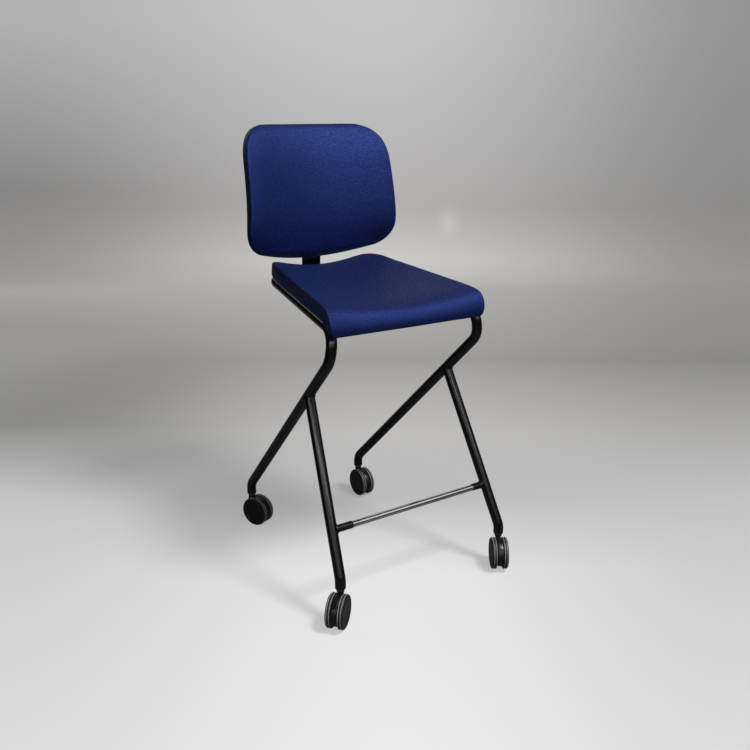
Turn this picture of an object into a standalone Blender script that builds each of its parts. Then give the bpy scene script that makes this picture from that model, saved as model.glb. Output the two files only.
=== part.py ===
"""Counter-height chair on casters: tube frame, padded seat and back, footrest, twin-wheel casters.

Metres, +Z up. The front is -Y, left is -X as seen from the front, and the floor is z = 0.
"""
import math

import bmesh
import bpy
from mathutils import Matrix, Vector, geometry

# Driving dimensions, in metres and degrees
GAP = 0.0003                    # clearance between pieces that touch
WELD = 0.00001                  # vertices closer than this are one
SHARP_ANGLE = math.radians(35)
CENTRE_X = 0.0142               # puts the middle of the object's box on the origin
CENTRE_Y = 0.0160

# Frame tube
TUBE_RADIUS = 0.011
TUBE_SIDES = 16
FRONT_HALF_TRACK = 0.2218       # caster stems from the middle plane
REAR_HALF_TRACK = 0.1673
HALF_WHEELBASE = 0.2657
TUBE_END_Z = 0.0813
REAR_BEND_Z = 0.1084            # corner where the diagonal turns upright
FRONT_BEND_Z = 0.1008           # corner where the front leg turns upright
KNEE_HALF_WIDTH = 0.1958        # upright below the front of the seat
KNEE_Y = -0.1945
KNEE_Z = 0.5572                 # corner between upright and diagonal
LEG_JOINT_Z = 0.4591            # where the front leg meets the diagonal
FOOT_BEND_RADIUS = 0.036
KNEE_BEND_RADIUS = 0.050
RAIL_BEND_RADIUS = 0.040
BEND_STEP = math.radians(12)    # largest turn between the rings of a bend

# Seat rails: they rise to the rear and taper inwards
RAIL_PITCH = math.radians(6.73)
RAIL_TAPER = math.radians(8.66)
RAIL_MID_Z = 0.643              # rail centre line above y = 0
RAIL_FRONT_HALF_WIDTH = 0.188   # where the rails' lines meet the uprights
REAR_CROSS_Y = 0.173
CROSS_TUBE_HALF_LENGTH = 0.085
FRONT_CROSS_V = -0.075
FRONT_CROSS_RADIUS = 0.008

# Footrest
FOOTREST_Z = 0.1925
FOOTREST_RADIUS = 0.0065
SLEEVE_RADIUS = 0.0080
LEFT_SLEEVE_LENGTH = 0.0500     # from the leg's axis
RIGHT_SLEEVE_LENGTH = 0.0405
SLEEVE_BORE_DEPTH = 0.020

# Seat
SHELL_THICKNESS = 0.006
SHELL_INSET = 0.016
SHELL_RAIL_GAP = 0.0005         # between the shell and the rail, over the front bend too
PAD_TOP = 0.0444                # top edge of the pad above the rail's centre line
PAD_RAIL_GAP = 0.0015           # between the pad's underside and the rail
PAD_OVERHANG = 0.0165           # pad side beyond the rail's centre line
PAD_EDGE_ROUND = 0.006
PAD_LIP_TOP = 0.024             # pad height at the end of the front lip
PAD_LIP_ANGLE = math.radians(60)
PAD_LIP_START = 0.3             # share of the lip where the pad starts to thin
PAD_REAR_Y = 0.1835
PAD_FRONT_CORNER = 0.018
PAD_REAR_CORNER = 0.040
PAD_REAR_DISH = 0.020
LIP_ROWS = 2                    # rows of the cage over the front bend
FLAT_ROWS = 3
PAD_FRONT_CROWN = 0.003
TAB_LENGTH = 0.032
TAB_WIDTH = 0.030
TAB_THICKNESS = 0.004
TAB_FRONT_V = -0.110
TAB_REAR_V = 0.110
SCREW_RADIUS = 0.0025
SCREW_HEAD_RADIUS = 0.005
SCREW_HEAD_HEIGHT = 0.003
SCREW_DOME = 0.6                # share of the head's radius and height that the dome leaves straight
SCREW_SIDES = 12
SCREW_BITE = 0.004              # depth of the screw in the shell

# Backrest
BACK_MID_Y = 0.2177
BACK_TOP_Z = 1.0150
BACK_BOTTOM_Z = 0.7010
BACK_LEAN = math.radians(7.5)
BACK_PLAN_RADIUS = 0.349
BACK_CURVE = 0.016              # the middle comes forward of the lower and upper edges
BACK_TOP_HALF_WIDTH = 0.1925
BACK_BOTTOM_HALF_WIDTH = 0.2072
BACK_TOP_CORNER = 0.063
BACK_BOTTOM_CORNER = 0.040
BACK_TOP_FALL = 0.009           # the upper edge drops towards the sides
BACK_BOTTOM_SAG = 0.031         # the lower edge rises towards the sides
BACK_THICKNESS = 0.030
BACK_CROWN = 0.007
BACK_EDGE_ROUND = 0.006
BACK_SHELL_THICKNESS = 0.006
BACK_SHELL_INSET = 0.014
BACK_ROWS = 4
BRACKET_WIDTH = 0.050
BRACKET_THICKNESS = 0.006
BRACKET_GAP = 0.0006            # between the bracket and the curved shell
BRACKET_STEPS = 5               # rings of the bracket up the shell
BRACKET_RISE = 0.135            # above the lower edge of the backrest
BRACKET_FOOT_V = 0.095          # front end of its foot under the rear cross tube
BRACKET_BEND_RADIUS = 0.014
BRACKET_CORNER = 0.010
BACK_SCREW_LOW = 0.045          # above the lower edge of the backrest
BACK_SCREW_HIGH = 0.110

# Casters
WHEEL_RADIUS = 0.0375           # to the flats of the faceted tread
WHEEL_SIDES = 24
CASTER_TRAIL = 0.0187
CASTER_HEADINGS = {"front_left": 220.5, "front_right": 237.8, "rear_left": 295.2, "rear_right": 269.7}
BODY_RADIUS = 0.033
BODY_HALF_WIDTH = 0.0065
BODY_CUT_Z = 0.012
NECK_RADIUS = 0.0087
NECK_LOW_Z = 0.0746
NECK_TOP_Z = 0.0789
SOCKET_RING_RADIUS = 0.0089
SOCKET_RADIUS = 0.0077
SOCKET_DEPTH = 0.012
STEM_RADIUS = 0.004
STEM_LOW_Z = 0.060
AXLE_RADIUS = 0.003
AXLE_HALF_LENGTH = 0.0165
WHEEL_INNER_Y = 0.0070
WHEEL_OUTER_Y = 0.0193
HUB_RADIUS = 0.0312
TREAD_GROOVE = 0.0012
TREAD_CHAMFER = 0.0015
HUB_CHAMFER = 0.001
HUB_RECESS = 0.0008             # outer face of the hub, and the tread's set-back from it
HUB_FACE_RADIUS = 0.025         # flat outer face inside the hub's rim
HUB_RIM_RADIUS = 0.0262


def clear_scene():
    """Remove every object, so that the script can be run again."""
    for obj in list(bpy.data.objects):
        bpy.data.objects.remove(obj, do_unlink=True)


def new_collection(name):
    collection = bpy.data.collections.new(name)
    bpy.context.scene.collection.children.link(collection)
    return collection


def new_material(name, colour, roughness, metallic=0.0):
    material = bpy.data.materials.new(name)
    material.use_nodes = True
    shader = material.node_tree.nodes["Principled BSDF"]
    shader.inputs["Base Color"].default_value = (*colour, 1.0)
    shader.inputs["Roughness"].default_value = roughness
    shader.inputs["Metallic"].default_value = metallic
    return material


clear_scene()
PARTS = new_collection("counter_chair")
CUTTERS = new_collection("counter_chair_cutters")
POWDER_COAT = new_material("powder_coat", (0.012, 0.012, 0.013), 0.45)
FABRIC = new_material("fabric", (0.018, 0.026, 0.11), 0.9)
BRIGHT_STEEL = new_material("bright_steel", (0.60, 0.59, 0.57), 0.22, 1.0)
ZINC_STEEL = new_material("zinc_steel", (0.55, 0.55, 0.56), 0.35, 1.0)
SHELL_PLASTIC = new_material("shell_plastic", (0.02, 0.02, 0.022), 0.55)
CASTER_PLASTIC = new_material("caster_plastic", (0.02, 0.02, 0.022), 0.35)
TREAD_RUBBER = new_material("tread_rubber", (0.16, 0.16, 0.17), 0.6)


def new_empty(name, matrix, parent=None):
    """An empty that holds a frame of reference."""
    empty = bpy.data.objects.new(name, None)
    PARTS.objects.link(empty)
    empty.parent = parent
    empty.matrix_local = matrix
    return empty


def new_piece(name, mesh, material, parent):
    """A named object for one piece, in its parent's frame."""
    piece = bpy.data.objects.new(name, mesh)
    PARTS.objects.link(piece)
    piece.parent = parent
    mesh.materials.clear()
    mesh.materials.append(material)
    mesh.shade_smooth()
    mesh.set_sharp_from_angle(angle=SHARP_ANGLE)
    return piece


def evaluated_mesh(obj, name):
    """The object's evaluated shape as one welded mesh; the object is removed."""
    bpy.context.view_layer.update()
    depsgraph = bpy.context.evaluated_depsgraph_get()
    mesh = bpy.data.meshes.new_from_object(obj.evaluated_get(depsgraph))
    mesh.name = name
    bpy.data.objects.remove(obj, do_unlink=True)
    bm = bmesh.new()
    bm.from_mesh(mesh)
    bmesh.ops.remove_doubles(bm, verts=bm.verts, dist=WELD)
    bmesh.ops.recalc_face_normals(bm, faces=bm.faces)
    bm.to_mesh(mesh)
    bm.free()
    return mesh


def rounded_path(corners):
    """Points along straight runs with an arc at each inner corner, from (point, bend radius)."""
    points = [Vector(corners[0][0])]
    for (before, _), (corner, radius), (after, _) in zip(corners, corners[1:], corners[2:]):
        corner = Vector(corner)
        back = (Vector(before) - corner).normalized()
        ahead = (Vector(after) - corner).normalized()
        turn = math.pi - back.angle(ahead)
        centre = corner + (back + ahead).normalized() * radius / math.cos(turn / 2)
        start = corner + back * radius * math.tan(turn / 2)
        axis = back.cross(ahead)
        steps = max(3, math.ceil(turn / BEND_STEP))
        for step in range(steps + 1):
            spin = Matrix.Rotation(-turn * step / steps, 3, axis)
            points.append(centre + spin @ (start - centre))
    points.append(Vector(corners[-1][0]))
    return points


def tube_mesh(name, points, radius, sides=TUBE_SIDES):
    """A round tube along a line of points, with filled ends."""
    curve = bpy.data.curves.new(name, "CURVE")
    curve.dimensions = "3D"
    spline = curve.splines.new("POLY")
    spline.points.add(len(points) - 1)
    for target, point in zip(spline.points, points):
        target.co = (*point, 1.0)
    curve.bevel_depth = radius
    curve.bevel_resolution = sides // 2 - 2
    curve.use_fill_caps = True
    obj = bpy.data.objects.new(name, curve)
    PARTS.objects.link(obj)
    return evaluated_mesh(obj, name)


def turned_mesh(name, profile, sides):
    """A shape turned about Z from (radius, height) points; it closes on the axis or on itself."""
    mesh = bpy.data.meshes.new(name)
    bm = bmesh.new()
    verts = [bm.verts.new((radius, 0.0, height)) for radius, height in profile]
    for first, second in zip(verts, verts[1:]):
        bm.edges.new((first, second))
    if profile[0][0] > 0.0:
        bm.edges.new((verts[-1], verts[0]))
    bm.to_mesh(mesh)
    bm.free()
    obj = bpy.data.objects.new(name, mesh)
    PARTS.objects.link(obj)
    screw = obj.modifiers.new("turn", "SCREW")
    screw.steps = sides
    screw.render_steps = sides
    screw.use_merge_vertices = True
    screw.merge_threshold = WELD
    return evaluated_mesh(obj, name)


def rod_mesh(name, radius, low, high, sides=TUBE_SIDES):
    """A cylinder about Z between two heights."""
    mesh = bpy.data.meshes.new(name)
    bm = bmesh.new()
    bmesh.ops.create_cone(bm, cap_ends=True, segments=sides, radius1=radius, radius2=radius, depth=high - low)
    bmesh.ops.translate(bm, verts=bm.verts, vec=(0.0, 0.0, (low + high) / 2))
    bm.to_mesh(mesh)
    bm.free()
    return mesh


def box_mesh(name, low, high):
    """A box between two corners."""
    mesh = bpy.data.meshes.new(name)
    bm = bmesh.new()
    bmesh.ops.create_cube(bm, size=1.0)
    low, high = Vector(low), Vector(high)
    bmesh.ops.scale(bm, verts=bm.verts, vec=high - low)
    bmesh.ops.translate(bm, verts=bm.verts, vec=(low + high) / 2)
    bm.to_mesh(mesh)
    bm.free()
    return mesh


def along(start, end):
    """A matrix that carries +Z from start towards end."""
    direction = Vector(end) - Vector(start)
    return Matrix.Translation(start) @ direction.to_track_quat("Z", "Y").to_matrix().to_4x4()


def cut(piece, mesh, matrix=Matrix.Identity(4), operation="DIFFERENCE"):
    """Add a Boolean to a piece, with a hidden cutter in the piece's own frame."""
    cutter = bpy.data.objects.new("cutter_" + mesh.name, mesh)
    CUTTERS.objects.link(cutter)
    cutter.parent = piece
    cutter.matrix_local = matrix
    cutter.hide_render = True
    cutter.display_type = "WIRE"
    boolean = piece.modifiers.new(mesh.name, "BOOLEAN")
    boolean.operation = operation
    boolean.object = cutter


def mirrored(point, side):
    return Vector((point[0] * side, point[1], point[2]))


# Frame of reference for the whole chair, and one in the plane of the seat rails
CHAIR = new_empty("chair", Matrix.Translation((CENTRE_X, CENTRE_Y, 0.0)))
SEAT_PLANE = Matrix.Translation((0.0, 0.0, RAIL_MID_Z)) @ Matrix.Rotation(RAIL_PITCH, 4, "X")
SEAT = new_empty("seat_plane", SEAT_PLANE, CHAIR)
SIDES = {"left": -1.0, "right": 1.0}


def rail_half_width(y):
    """Rail centre line from the middle plane, at a distance along the chair."""
    return RAIL_FRONT_HALF_WIDTH - math.tan(RAIL_TAPER) * (y - KNEE_Y)


def rail_point(y):
    return Vector((rail_half_width(y), y, RAIL_MID_Z + math.tan(RAIL_PITCH) * y))


# Corners of the frame on the right side
REAR_END = Vector((REAR_HALF_TRACK, HALF_WHEELBASE, TUBE_END_Z))
REAR_BEND = Vector((REAR_HALF_TRACK, HALF_WHEELBASE, REAR_BEND_Z))
KNEE = Vector((KNEE_HALF_WIDTH, KNEE_Y, KNEE_Z))
RAIL_FRONT = rail_point(KNEE_Y)
RAIL_REAR = rail_point(REAR_CROSS_Y)
CROSS_END = Vector((CROSS_TUBE_HALF_LENGTH + GAP, RAIL_REAR.y, RAIL_REAR.z))
LEG_TOP = REAR_BEND.lerp(KNEE, (LEG_JOINT_Z - REAR_BEND_Z) / (KNEE_Z - REAR_BEND_Z))
FRONT_END = Vector((FRONT_HALF_TRACK, -HALF_WHEELBASE, TUBE_END_Z))
FRONT_BEND = Vector((FRONT_HALF_TRACK, -HALF_WHEELBASE, FRONT_BEND_Z))
FOOTREST = FRONT_BEND.lerp(LEG_TOP, (FOOTREST_Z - FRONT_BEND_Z) / (LEG_JOINT_Z - FRONT_BEND_Z))
BORE_RADIUS = SOCKET_RADIUS + GAP
BORE_DEPTH = SOCKET_DEPTH + GAP


def socket_bore(piece, end):
    """Bore the foot of a tube for its caster socket."""
    bore = rod_mesh("socket_bore", BORE_RADIUS, -BORE_DEPTH, BORE_DEPTH)
    cut(piece, bore, Matrix.Translation(end))


def build_side_tube(name, side):
    """Seat rail, front knee, diagonal and rear leg in one bent tube."""
    corners = [
        (CROSS_END, 0.0),
        (RAIL_REAR, RAIL_BEND_RADIUS),
        (RAIL_FRONT, RAIL_BEND_RADIUS),
        (KNEE, KNEE_BEND_RADIUS),
        (REAR_BEND, FOOT_BEND_RADIUS),
        (REAR_END, 0.0),
    ]
    path = rounded_path([(mirrored(point, side), radius) for point, radius in corners])
    label = "side_tube_" + name
    tube = new_piece(label, tube_mesh(label, path, TUBE_RADIUS), POWDER_COAT, CHAIR)
    socket_bore(tube, path[-1])


def build_front_leg(name, side):
    """Front leg, coped round the diagonal at the top and bent upright at the foot."""
    corners = [(LEG_TOP, 0.0), (FRONT_BEND, FOOT_BEND_RADIUS), (FRONT_END, 0.0)]
    path = rounded_path([(mirrored(point, side), radius) for point, radius in corners])
    label = "front_leg_" + name
    leg = new_piece(label, tube_mesh(label, path, TUBE_RADIUS), POWDER_COAT, CHAIR)
    diagonal = along(mirrored(LEG_TOP, side), mirrored(KNEE, side))
    cope = rod_mesh("cope", TUBE_RADIUS + GAP, -4 * TUBE_RADIUS, 4 * TUBE_RADIUS, 2 * TUBE_SIDES)
    cut(leg, cope, diagonal)
    socket_bore(leg, path[-1])


def build_cross_tubes():
    """Rear cross tube between the rails' turned-in ends, and a thinner one under the seat."""
    end = Vector((CROSS_TUBE_HALF_LENGTH, RAIL_REAR.y, RAIL_REAR.z))
    mesh = tube_mesh("rear_cross_tube", [mirrored(end, -1.0), end], TUBE_RADIUS)
    new_piece("rear_cross_tube", mesh, POWDER_COAT, CHAIR)
    half = rail_half_width(FRONT_CROSS_V * math.cos(RAIL_PITCH))
    front = [Vector((-half, FRONT_CROSS_V, 0.0)), Vector((half, FRONT_CROSS_V, 0.0))]
    mesh = tube_mesh("front_cross_tube", front, FRONT_CROSS_RADIUS)
    cross = new_piece("front_cross_tube", mesh, POWDER_COAT, SEAT)
    for side in SIDES.values():
        cut(cross, rail_cope(), seat_rail_matrix(side))


def rail_cope():
    """A cutter for what is coped round a seat rail."""
    half = REAR_CROSS_Y - KNEE_Y
    return rod_mesh("rail_cope", TUBE_RADIUS + GAP, -half, half, 2 * TUBE_SIDES)


def seat_rail_matrix(side):
    """The rail's centre line, in the plane of the seat rails."""
    inverse = SEAT_PLANE.inverted()
    front = inverse @ mirrored(RAIL_FRONT, side)
    rear = inverse @ mirrored(RAIL_REAR, side)
    return along(front.lerp(rear, 0.5), rear)


def build_footrest():
    """Bright bar held in a black sleeve at each end, each sleeve coped round its leg."""
    lengths = {"left": LEFT_SLEEVE_LENGTH, "right": RIGHT_SLEEVE_LENGTH}
    ends = []
    for name, side in SIDES.items():
        root = mirrored(FOOTREST, side)
        tip = root - Vector((side * lengths[name], 0.0, 0.0))
        label = "footrest_sleeve_" + name
        sleeve = new_piece(label, tube_mesh(label, [root, tip], SLEEVE_RADIUS), POWDER_COAT, CHAIR)
        leg = along(root, mirrored(LEG_TOP, side))
        cope = rod_mesh("leg_cope", TUBE_RADIUS + GAP, -2 * TUBE_RADIUS, 2 * TUBE_RADIUS, 2 * TUBE_SIDES)
        cut(sleeve, cope, leg)
        bore = rod_mesh("bar_bore", FOOTREST_RADIUS + GAP, -SLEEVE_BORE_DEPTH, SLEEVE_BORE_DEPTH)
        cut(sleeve, bore, along(tip, root))
        ends.append(tip + Vector((side * (SLEEVE_BORE_DEPTH - GAP), 0.0, 0.0)))
    new_piece("footrest_bar", tube_mesh("footrest_bar", ends, FOOTREST_RADIUS), BRIGHT_STEEL, CHAIR)


# Seat: a sheet coordinate runs back from where the rails start to bend, and wraps round the bend in front
COS_PITCH = math.cos(RAIL_PITCH)
BEND_TURN = math.pi / 2 - RAIL_PITCH
BEND_START_V = KNEE_Y / COS_PITCH + RAIL_BEND_RADIUS * math.tan(BEND_TURN / 2)
SHELL_LOW = TUBE_RADIUS + SHELL_RAIL_GAP
SHELL_HIGH = SHELL_LOW + SHELL_THICKNESS
SHEET_RADIUS = RAIL_BEND_RADIUS + (SHELL_LOW + PAD_TOP) / 2
SHEET_FRONT = -SHEET_RADIUS * PAD_LIP_ANGLE
PAD_LOW = TUBE_RADIUS + PAD_RAIL_GAP
SHEET_REAR = PAD_REAR_Y / COS_PITCH - BEND_START_V


def seat_point(x, sheet, height):
    """A place in the seat, from across, along the sheet, and height above the rails' centre lines."""
    if sheet >= 0.0:
        return Vector((x, BEND_START_V + sheet, height))
    angle = -sheet / SHEET_RADIUS
    radius = RAIL_BEND_RADIUS + height
    return Vector((x, BEND_START_V - radius * math.sin(angle), radius * math.cos(angle) - RAIL_BEND_RADIUS))


def corner_inset(distance, radius):
    """How far a rounded corner draws in, at a distance from the end of the outline."""
    if distance >= radius:
        return 0.0
    return radius - math.sqrt(max(0.0, radius ** 2 - (radius - distance) ** 2))


def seat_half_width(sheet, inset):
    """Half the width of the seat's outline, drawn in by an inset."""
    side = rail_half_width((BEND_START_V + sheet) * COS_PITCH) + PAD_OVERHANG - inset
    front = corner_inset(sheet - SHEET_FRONT - inset, PAD_FRONT_CORNER)
    rear = corner_inset(SHEET_REAR - inset - sheet, PAD_REAR_CORNER)
    return side - front - rear


def smooth_step(low, high, value):
    """0 below low, 1 above high, and a smooth ramp between."""
    share = min(1.0, max(0.0, (value - low) / (high - low)))
    return share * share * (3.0 - 2.0 * share)


def pad_top(across, sheet):
    """Height of the pad's top: dished at the rear, crowned at the front, thinner down the lip."""
    lip = smooth_step(PAD_LIP_START * SHEET_FRONT, SHEET_FRONT, sheet)
    edge = PAD_TOP + (PAD_LIP_TOP - PAD_TOP) * lip
    dish = PAD_REAR_DISH * smooth_step(0.0, SHEET_REAR, sheet) - PAD_FRONT_CROWN * (1.0 - lip)
    return edge - dish * (1.0 - across ** 2)


def even_places(low, high, count):
    """Places between two ends, without the ends."""
    return [low + (high - low) * (k + 1) / (count + 1) for k in range(count)]


CORNER_SHARES = (0.0, 0.12, 0.45, 1.0)
PAD_COLUMNS = (-1.0, -0.88, -0.46, 0.0, 0.46, 0.88, 1.0)


def row_places(front, rear, front_corner, rear_corner, middle):
    """Row places along an outline: close together round the corners, with the given ones between."""
    near = [front + front_corner * share for share in CORNER_SHARES]
    far = [rear - rear_corner * share for share in reversed(CORNER_SHARES)]
    return near + middle + far


def seat_rows(inset):
    """Rows of the seat: over the front bend, then along the straight of the rails."""
    front = SHEET_FRONT + inset
    rear = SHEET_REAR - inset
    bend = even_places(front + PAD_FRONT_CORNER, 0.0, LIP_ROWS)
    flat = even_places(0.0, rear - PAD_REAR_CORNER, FLAT_ROWS)
    return row_places(front, rear, PAD_FRONT_CORNER, PAD_REAR_CORNER, bend + [0.0] + flat)


def layered_mesh(name, columns, rows, layers, place):
    """A closed cage: a grid of columns and rows, extruded through layers, each vertex put in place."""
    mesh = bpy.data.meshes.new(name)
    bm = bmesh.new()
    bmesh.ops.create_grid(bm, x_segments=columns - 1, y_segments=rows - 1, size=1.0)
    faces = bm.faces[:]
    for layer in range(1, layers):
        grown = bmesh.ops.extrude_face_region(bm, geom=faces)["geom"]
        if layer > 1:
            bmesh.ops.delete(bm, geom=faces, context="FACES")
        faces = [item for item in grown if isinstance(item, bmesh.types.BMFace)]
        for vert in [item for item in grown if isinstance(item, bmesh.types.BMVert)]:
            vert.co.z = layer
    for vert in bm.verts:
        column = round((vert.co.x + 1.0) / 2.0 * (columns - 1))
        row = round((vert.co.y + 1.0) / 2.0 * (rows - 1))
        vert.co = place(column, row, round(vert.co.z))
    bmesh.ops.recalc_face_normals(bm, faces=bm.faces)
    bm.to_mesh(mesh)
    bm.free()
    return mesh


def soften(piece, levels=1):
    subdivision = piece.modifiers.new("soft", "SUBSURF")
    subdivision.levels = levels
    subdivision.render_levels = levels


def seat_sheet(name, inset, low, high):
    """A sheet of even thickness that follows the seat, as a closed mesh."""
    rows = seat_rows(inset)

    def place(column, row, layer):
        width = seat_half_width(rows[row], inset)
        return seat_point(PAD_COLUMNS[column] * width, rows[row], (low, high)[layer])

    return layered_mesh(name, len(PAD_COLUMNS), len(rows), 2, place)


def build_seat():
    """Shell on the rails, and a pad whose underside is let in for the shell."""
    mesh = seat_sheet("seat_shell", SHELL_INSET, SHELL_LOW, SHELL_HIGH)
    shell = new_piece("seat_shell", mesh, SHELL_PLASTIC, SEAT)
    insets = (PAD_EDGE_ROUND, 0.0, PAD_EDGE_ROUND)
    rows = {inset: seat_rows(inset) for inset in insets}

    def place(column, row, layer):
        inset = insets[layer]
        sheet = rows[inset][row]
        across = PAD_COLUMNS[column]
        top = pad_top(across, sheet)
        height = (PAD_LOW, (PAD_LOW + top) / 2, top)[layer]
        return seat_point(across * seat_half_width(sheet, inset), sheet, height)

    mesh = layered_mesh("seat_pad", len(PAD_COLUMNS), len(rows[0.0]), len(insets), place)
    pad = new_piece("seat_pad", mesh, FABRIC, SEAT)
    soften(pad)
    recess = seat_sheet("shell_recess", SHELL_INSET - GAP, SHELL_LOW - SHELL_THICKNESS, SHELL_HIGH + GAP)
    cut(pad, recess)
    build_seat_fixings(shell)


def screw_mesh(name, reach):
    """A pan-head screw: the head's seat is at z = 0 and the shank runs up."""
    profile = [
        (0.0, reach),
        (SCREW_RADIUS, reach),
        (SCREW_RADIUS, 0.0),
        (SCREW_HEAD_RADIUS, 0.0),
        (SCREW_HEAD_RADIUS, -SCREW_DOME * SCREW_HEAD_HEIGHT),
        (SCREW_DOME * SCREW_HEAD_RADIUS, -SCREW_HEAD_HEIGHT),
        (0.0, -SCREW_HEAD_HEIGHT),
    ]
    return turned_mesh(name, profile, SCREW_SIDES)


def build_seat_fixings(shell):
    """Tabs coped round the rails, each with a screw up into the shell."""
    top = SHELL_LOW - GAP
    low = top - TAB_THICKNESS
    for end, v in (("front", TAB_FRONT_V), ("rear", TAB_REAR_V)):
        for name, side in SIDES.items():
            rail_x = rail_half_width(v * COS_PITCH)
            inner, outer = sorted((side * (rail_x - TAB_LENGTH), side * (rail_x - TUBE_RADIUS / 2)))
            label = "seat_tab_{}_{}".format(end, name)
            mesh = box_mesh(label, (inner, v - TAB_WIDTH / 2, low), (outer, v + TAB_WIDTH / 2, top))
            tab = new_piece(label, mesh, POWDER_COAT, SEAT)
            cut(tab, rail_cope(), seat_rail_matrix(side))
            place = Matrix.Translation((side * (rail_x - TAB_LENGTH / 2 - TUBE_RADIUS / 2), v, low - GAP))
            hole = rod_mesh("screw_hole", SCREW_RADIUS + GAP, -TAB_THICKNESS, TAB_THICKNESS * 2 + SCREW_BITE)
            cut(tab, hole, place)
            bore_top = TAB_THICKNESS + 2 * GAP + SCREW_BITE + GAP
            bore = rod_mesh("screw_bore", SCREW_RADIUS + GAP, 0.0, bore_top)
            cut(shell, bore, place)
            screw_label = "seat_screw_{}_{}".format(end, name)
            reach = TAB_THICKNESS + 2 * GAP + SCREW_BITE
            screw = new_piece(screw_label, screw_mesh(screw_label, reach), ZINC_STEEL, SEAT)
            screw.matrix_local = place


# Backrest: a panel that leans and curves in plan, in a frame at its middle
BACK_MID_Z = (BACK_TOP_Z + BACK_BOTTOM_Z) / 2
BACK_PLANE = Matrix.Translation((0.0, BACK_MID_Y, BACK_MID_Z)) @ Matrix.Rotation(-BACK_LEAN, 4, "X")
BACK = new_empty("back_plane", BACK_PLANE, CHAIR)
BACK_HALF_HEIGHT = (BACK_TOP_Z - BACK_BOTTOM_Z) / 2 / math.cos(BACK_LEAN)
BACK_REAR = BACK_THICKNESS / 2


def back_half_width(height, inset):
    """Half the width of the backrest's outline at a height in its own frame."""
    share = (height + BACK_HALF_HEIGHT) / (2 * BACK_HALF_HEIGHT)
    side = BACK_BOTTOM_HALF_WIDTH + (BACK_TOP_HALF_WIDTH - BACK_BOTTOM_HALF_WIDTH) * share - inset
    low = corner_inset(height + BACK_HALF_HEIGHT - inset, BACK_BOTTOM_CORNER)
    high = corner_inset(BACK_HALF_HEIGHT - inset - height, BACK_TOP_CORNER)
    return side - low - high


def back_point(x, depth, height):
    """A place in the backrest: its sides and its middle come forward, and both edges bow towards the sides."""
    low = smooth_step(0.0, -BACK_HALF_HEIGHT, height)
    high = smooth_step(0.0, BACK_HALF_HEIGHT, height)
    bow = (x / BACK_BOTTOM_HALF_WIDTH) ** 2
    rise = BACK_BOTTOM_SAG * bow * low - BACK_TOP_FALL * bow * high
    forward = x ** 2 / (2 * BACK_PLAN_RADIUS) + BACK_CURVE * (1.0 - (height / BACK_HALF_HEIGHT) ** 2)
    return Vector((x, depth - forward, height + rise))


def back_normal(height):
    """Direction out of the backrest's rear, on the middle plane."""
    return Vector((0.0, 1.0, -2.0 * BACK_CURVE * height / BACK_HALF_HEIGHT ** 2)).normalized()


def back_rows(inset):
    """Rows of the backrest, from its lower edge up."""
    low = -BACK_HALF_HEIGHT + inset
    high = BACK_HALF_HEIGHT - inset
    middle = even_places(low + BACK_BOTTOM_CORNER, high - BACK_TOP_CORNER, BACK_ROWS)
    return row_places(low, high, BACK_BOTTOM_CORNER, BACK_TOP_CORNER, middle)


def back_sheet(name, inset, front, rear):
    """A sheet of even thickness that follows the backrest, as a closed mesh."""
    rows = back_rows(inset)

    def place(column, row, layer):
        width = back_half_width(rows[row], inset)
        return back_point(PAD_COLUMNS[column] * width, (front, rear)[layer], rows[row])

    return layered_mesh(name, len(PAD_COLUMNS), len(rows), 2, place)


def build_back():
    """Pad, shell let into its rear, and the bracket that carries them."""
    shell_front = BACK_REAR - BACK_SHELL_THICKNESS
    mesh = back_sheet("back_shell", BACK_SHELL_INSET, shell_front, BACK_REAR)
    shell = new_piece("back_shell", mesh, SHELL_PLASTIC, BACK)
    insets = (BACK_EDGE_ROUND, 0.0, BACK_EDGE_ROUND)
    rows = {inset: back_rows(inset) for inset in insets}

    def place(column, row, layer):
        inset = insets[layer]
        height = rows[inset][row]
        across = PAD_COLUMNS[column]
        crown = BACK_CROWN * (1.0 - across ** 2) * (1.0 - (height / BACK_HALF_HEIGHT) ** 2)
        depth = (-BACK_REAR - crown, 0.0, BACK_REAR)[layer]
        return back_point(across * back_half_width(height, inset), depth, height)

    mesh = layered_mesh("back_pad", len(PAD_COLUMNS), len(rows[0.0]), len(insets), place)
    pad = new_piece("back_pad", mesh, FABRIC, BACK)
    soften(pad)
    recess_rear = BACK_REAR + BACK_SHELL_THICKNESS
    cut(pad, back_sheet("back_recess", BACK_SHELL_INSET - GAP, shell_front - GAP, recess_rear))
    build_bracket(shell)


def strip_mesh(name, path, width, corner):
    """A flat strip along a path in the middle plane, with its ends' corners rounded."""
    mesh = bpy.data.meshes.new(name)
    bm = bmesh.new()
    verts = [bm.verts.new((-width / 2, point.y, point.z)) for point in path]
    edges = [bm.edges.new(pair) for pair in zip(verts, verts[1:])]
    grown = bmesh.ops.extrude_edge_only(bm, edges=edges)["geom"]
    far = [item for item in grown if isinstance(item, bmesh.types.BMVert)]
    bmesh.ops.translate(bm, verts=far, vec=(width, 0.0, 0.0))
    ends = [vert for vert in bm.verts if len(vert.link_edges) == 2]
    bmesh.ops.bevel(bm, geom=ends, offset=corner, segments=4, affect="VERTICES", profile=0.5)
    bm.to_mesh(mesh)
    bm.free()
    return mesh


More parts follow.
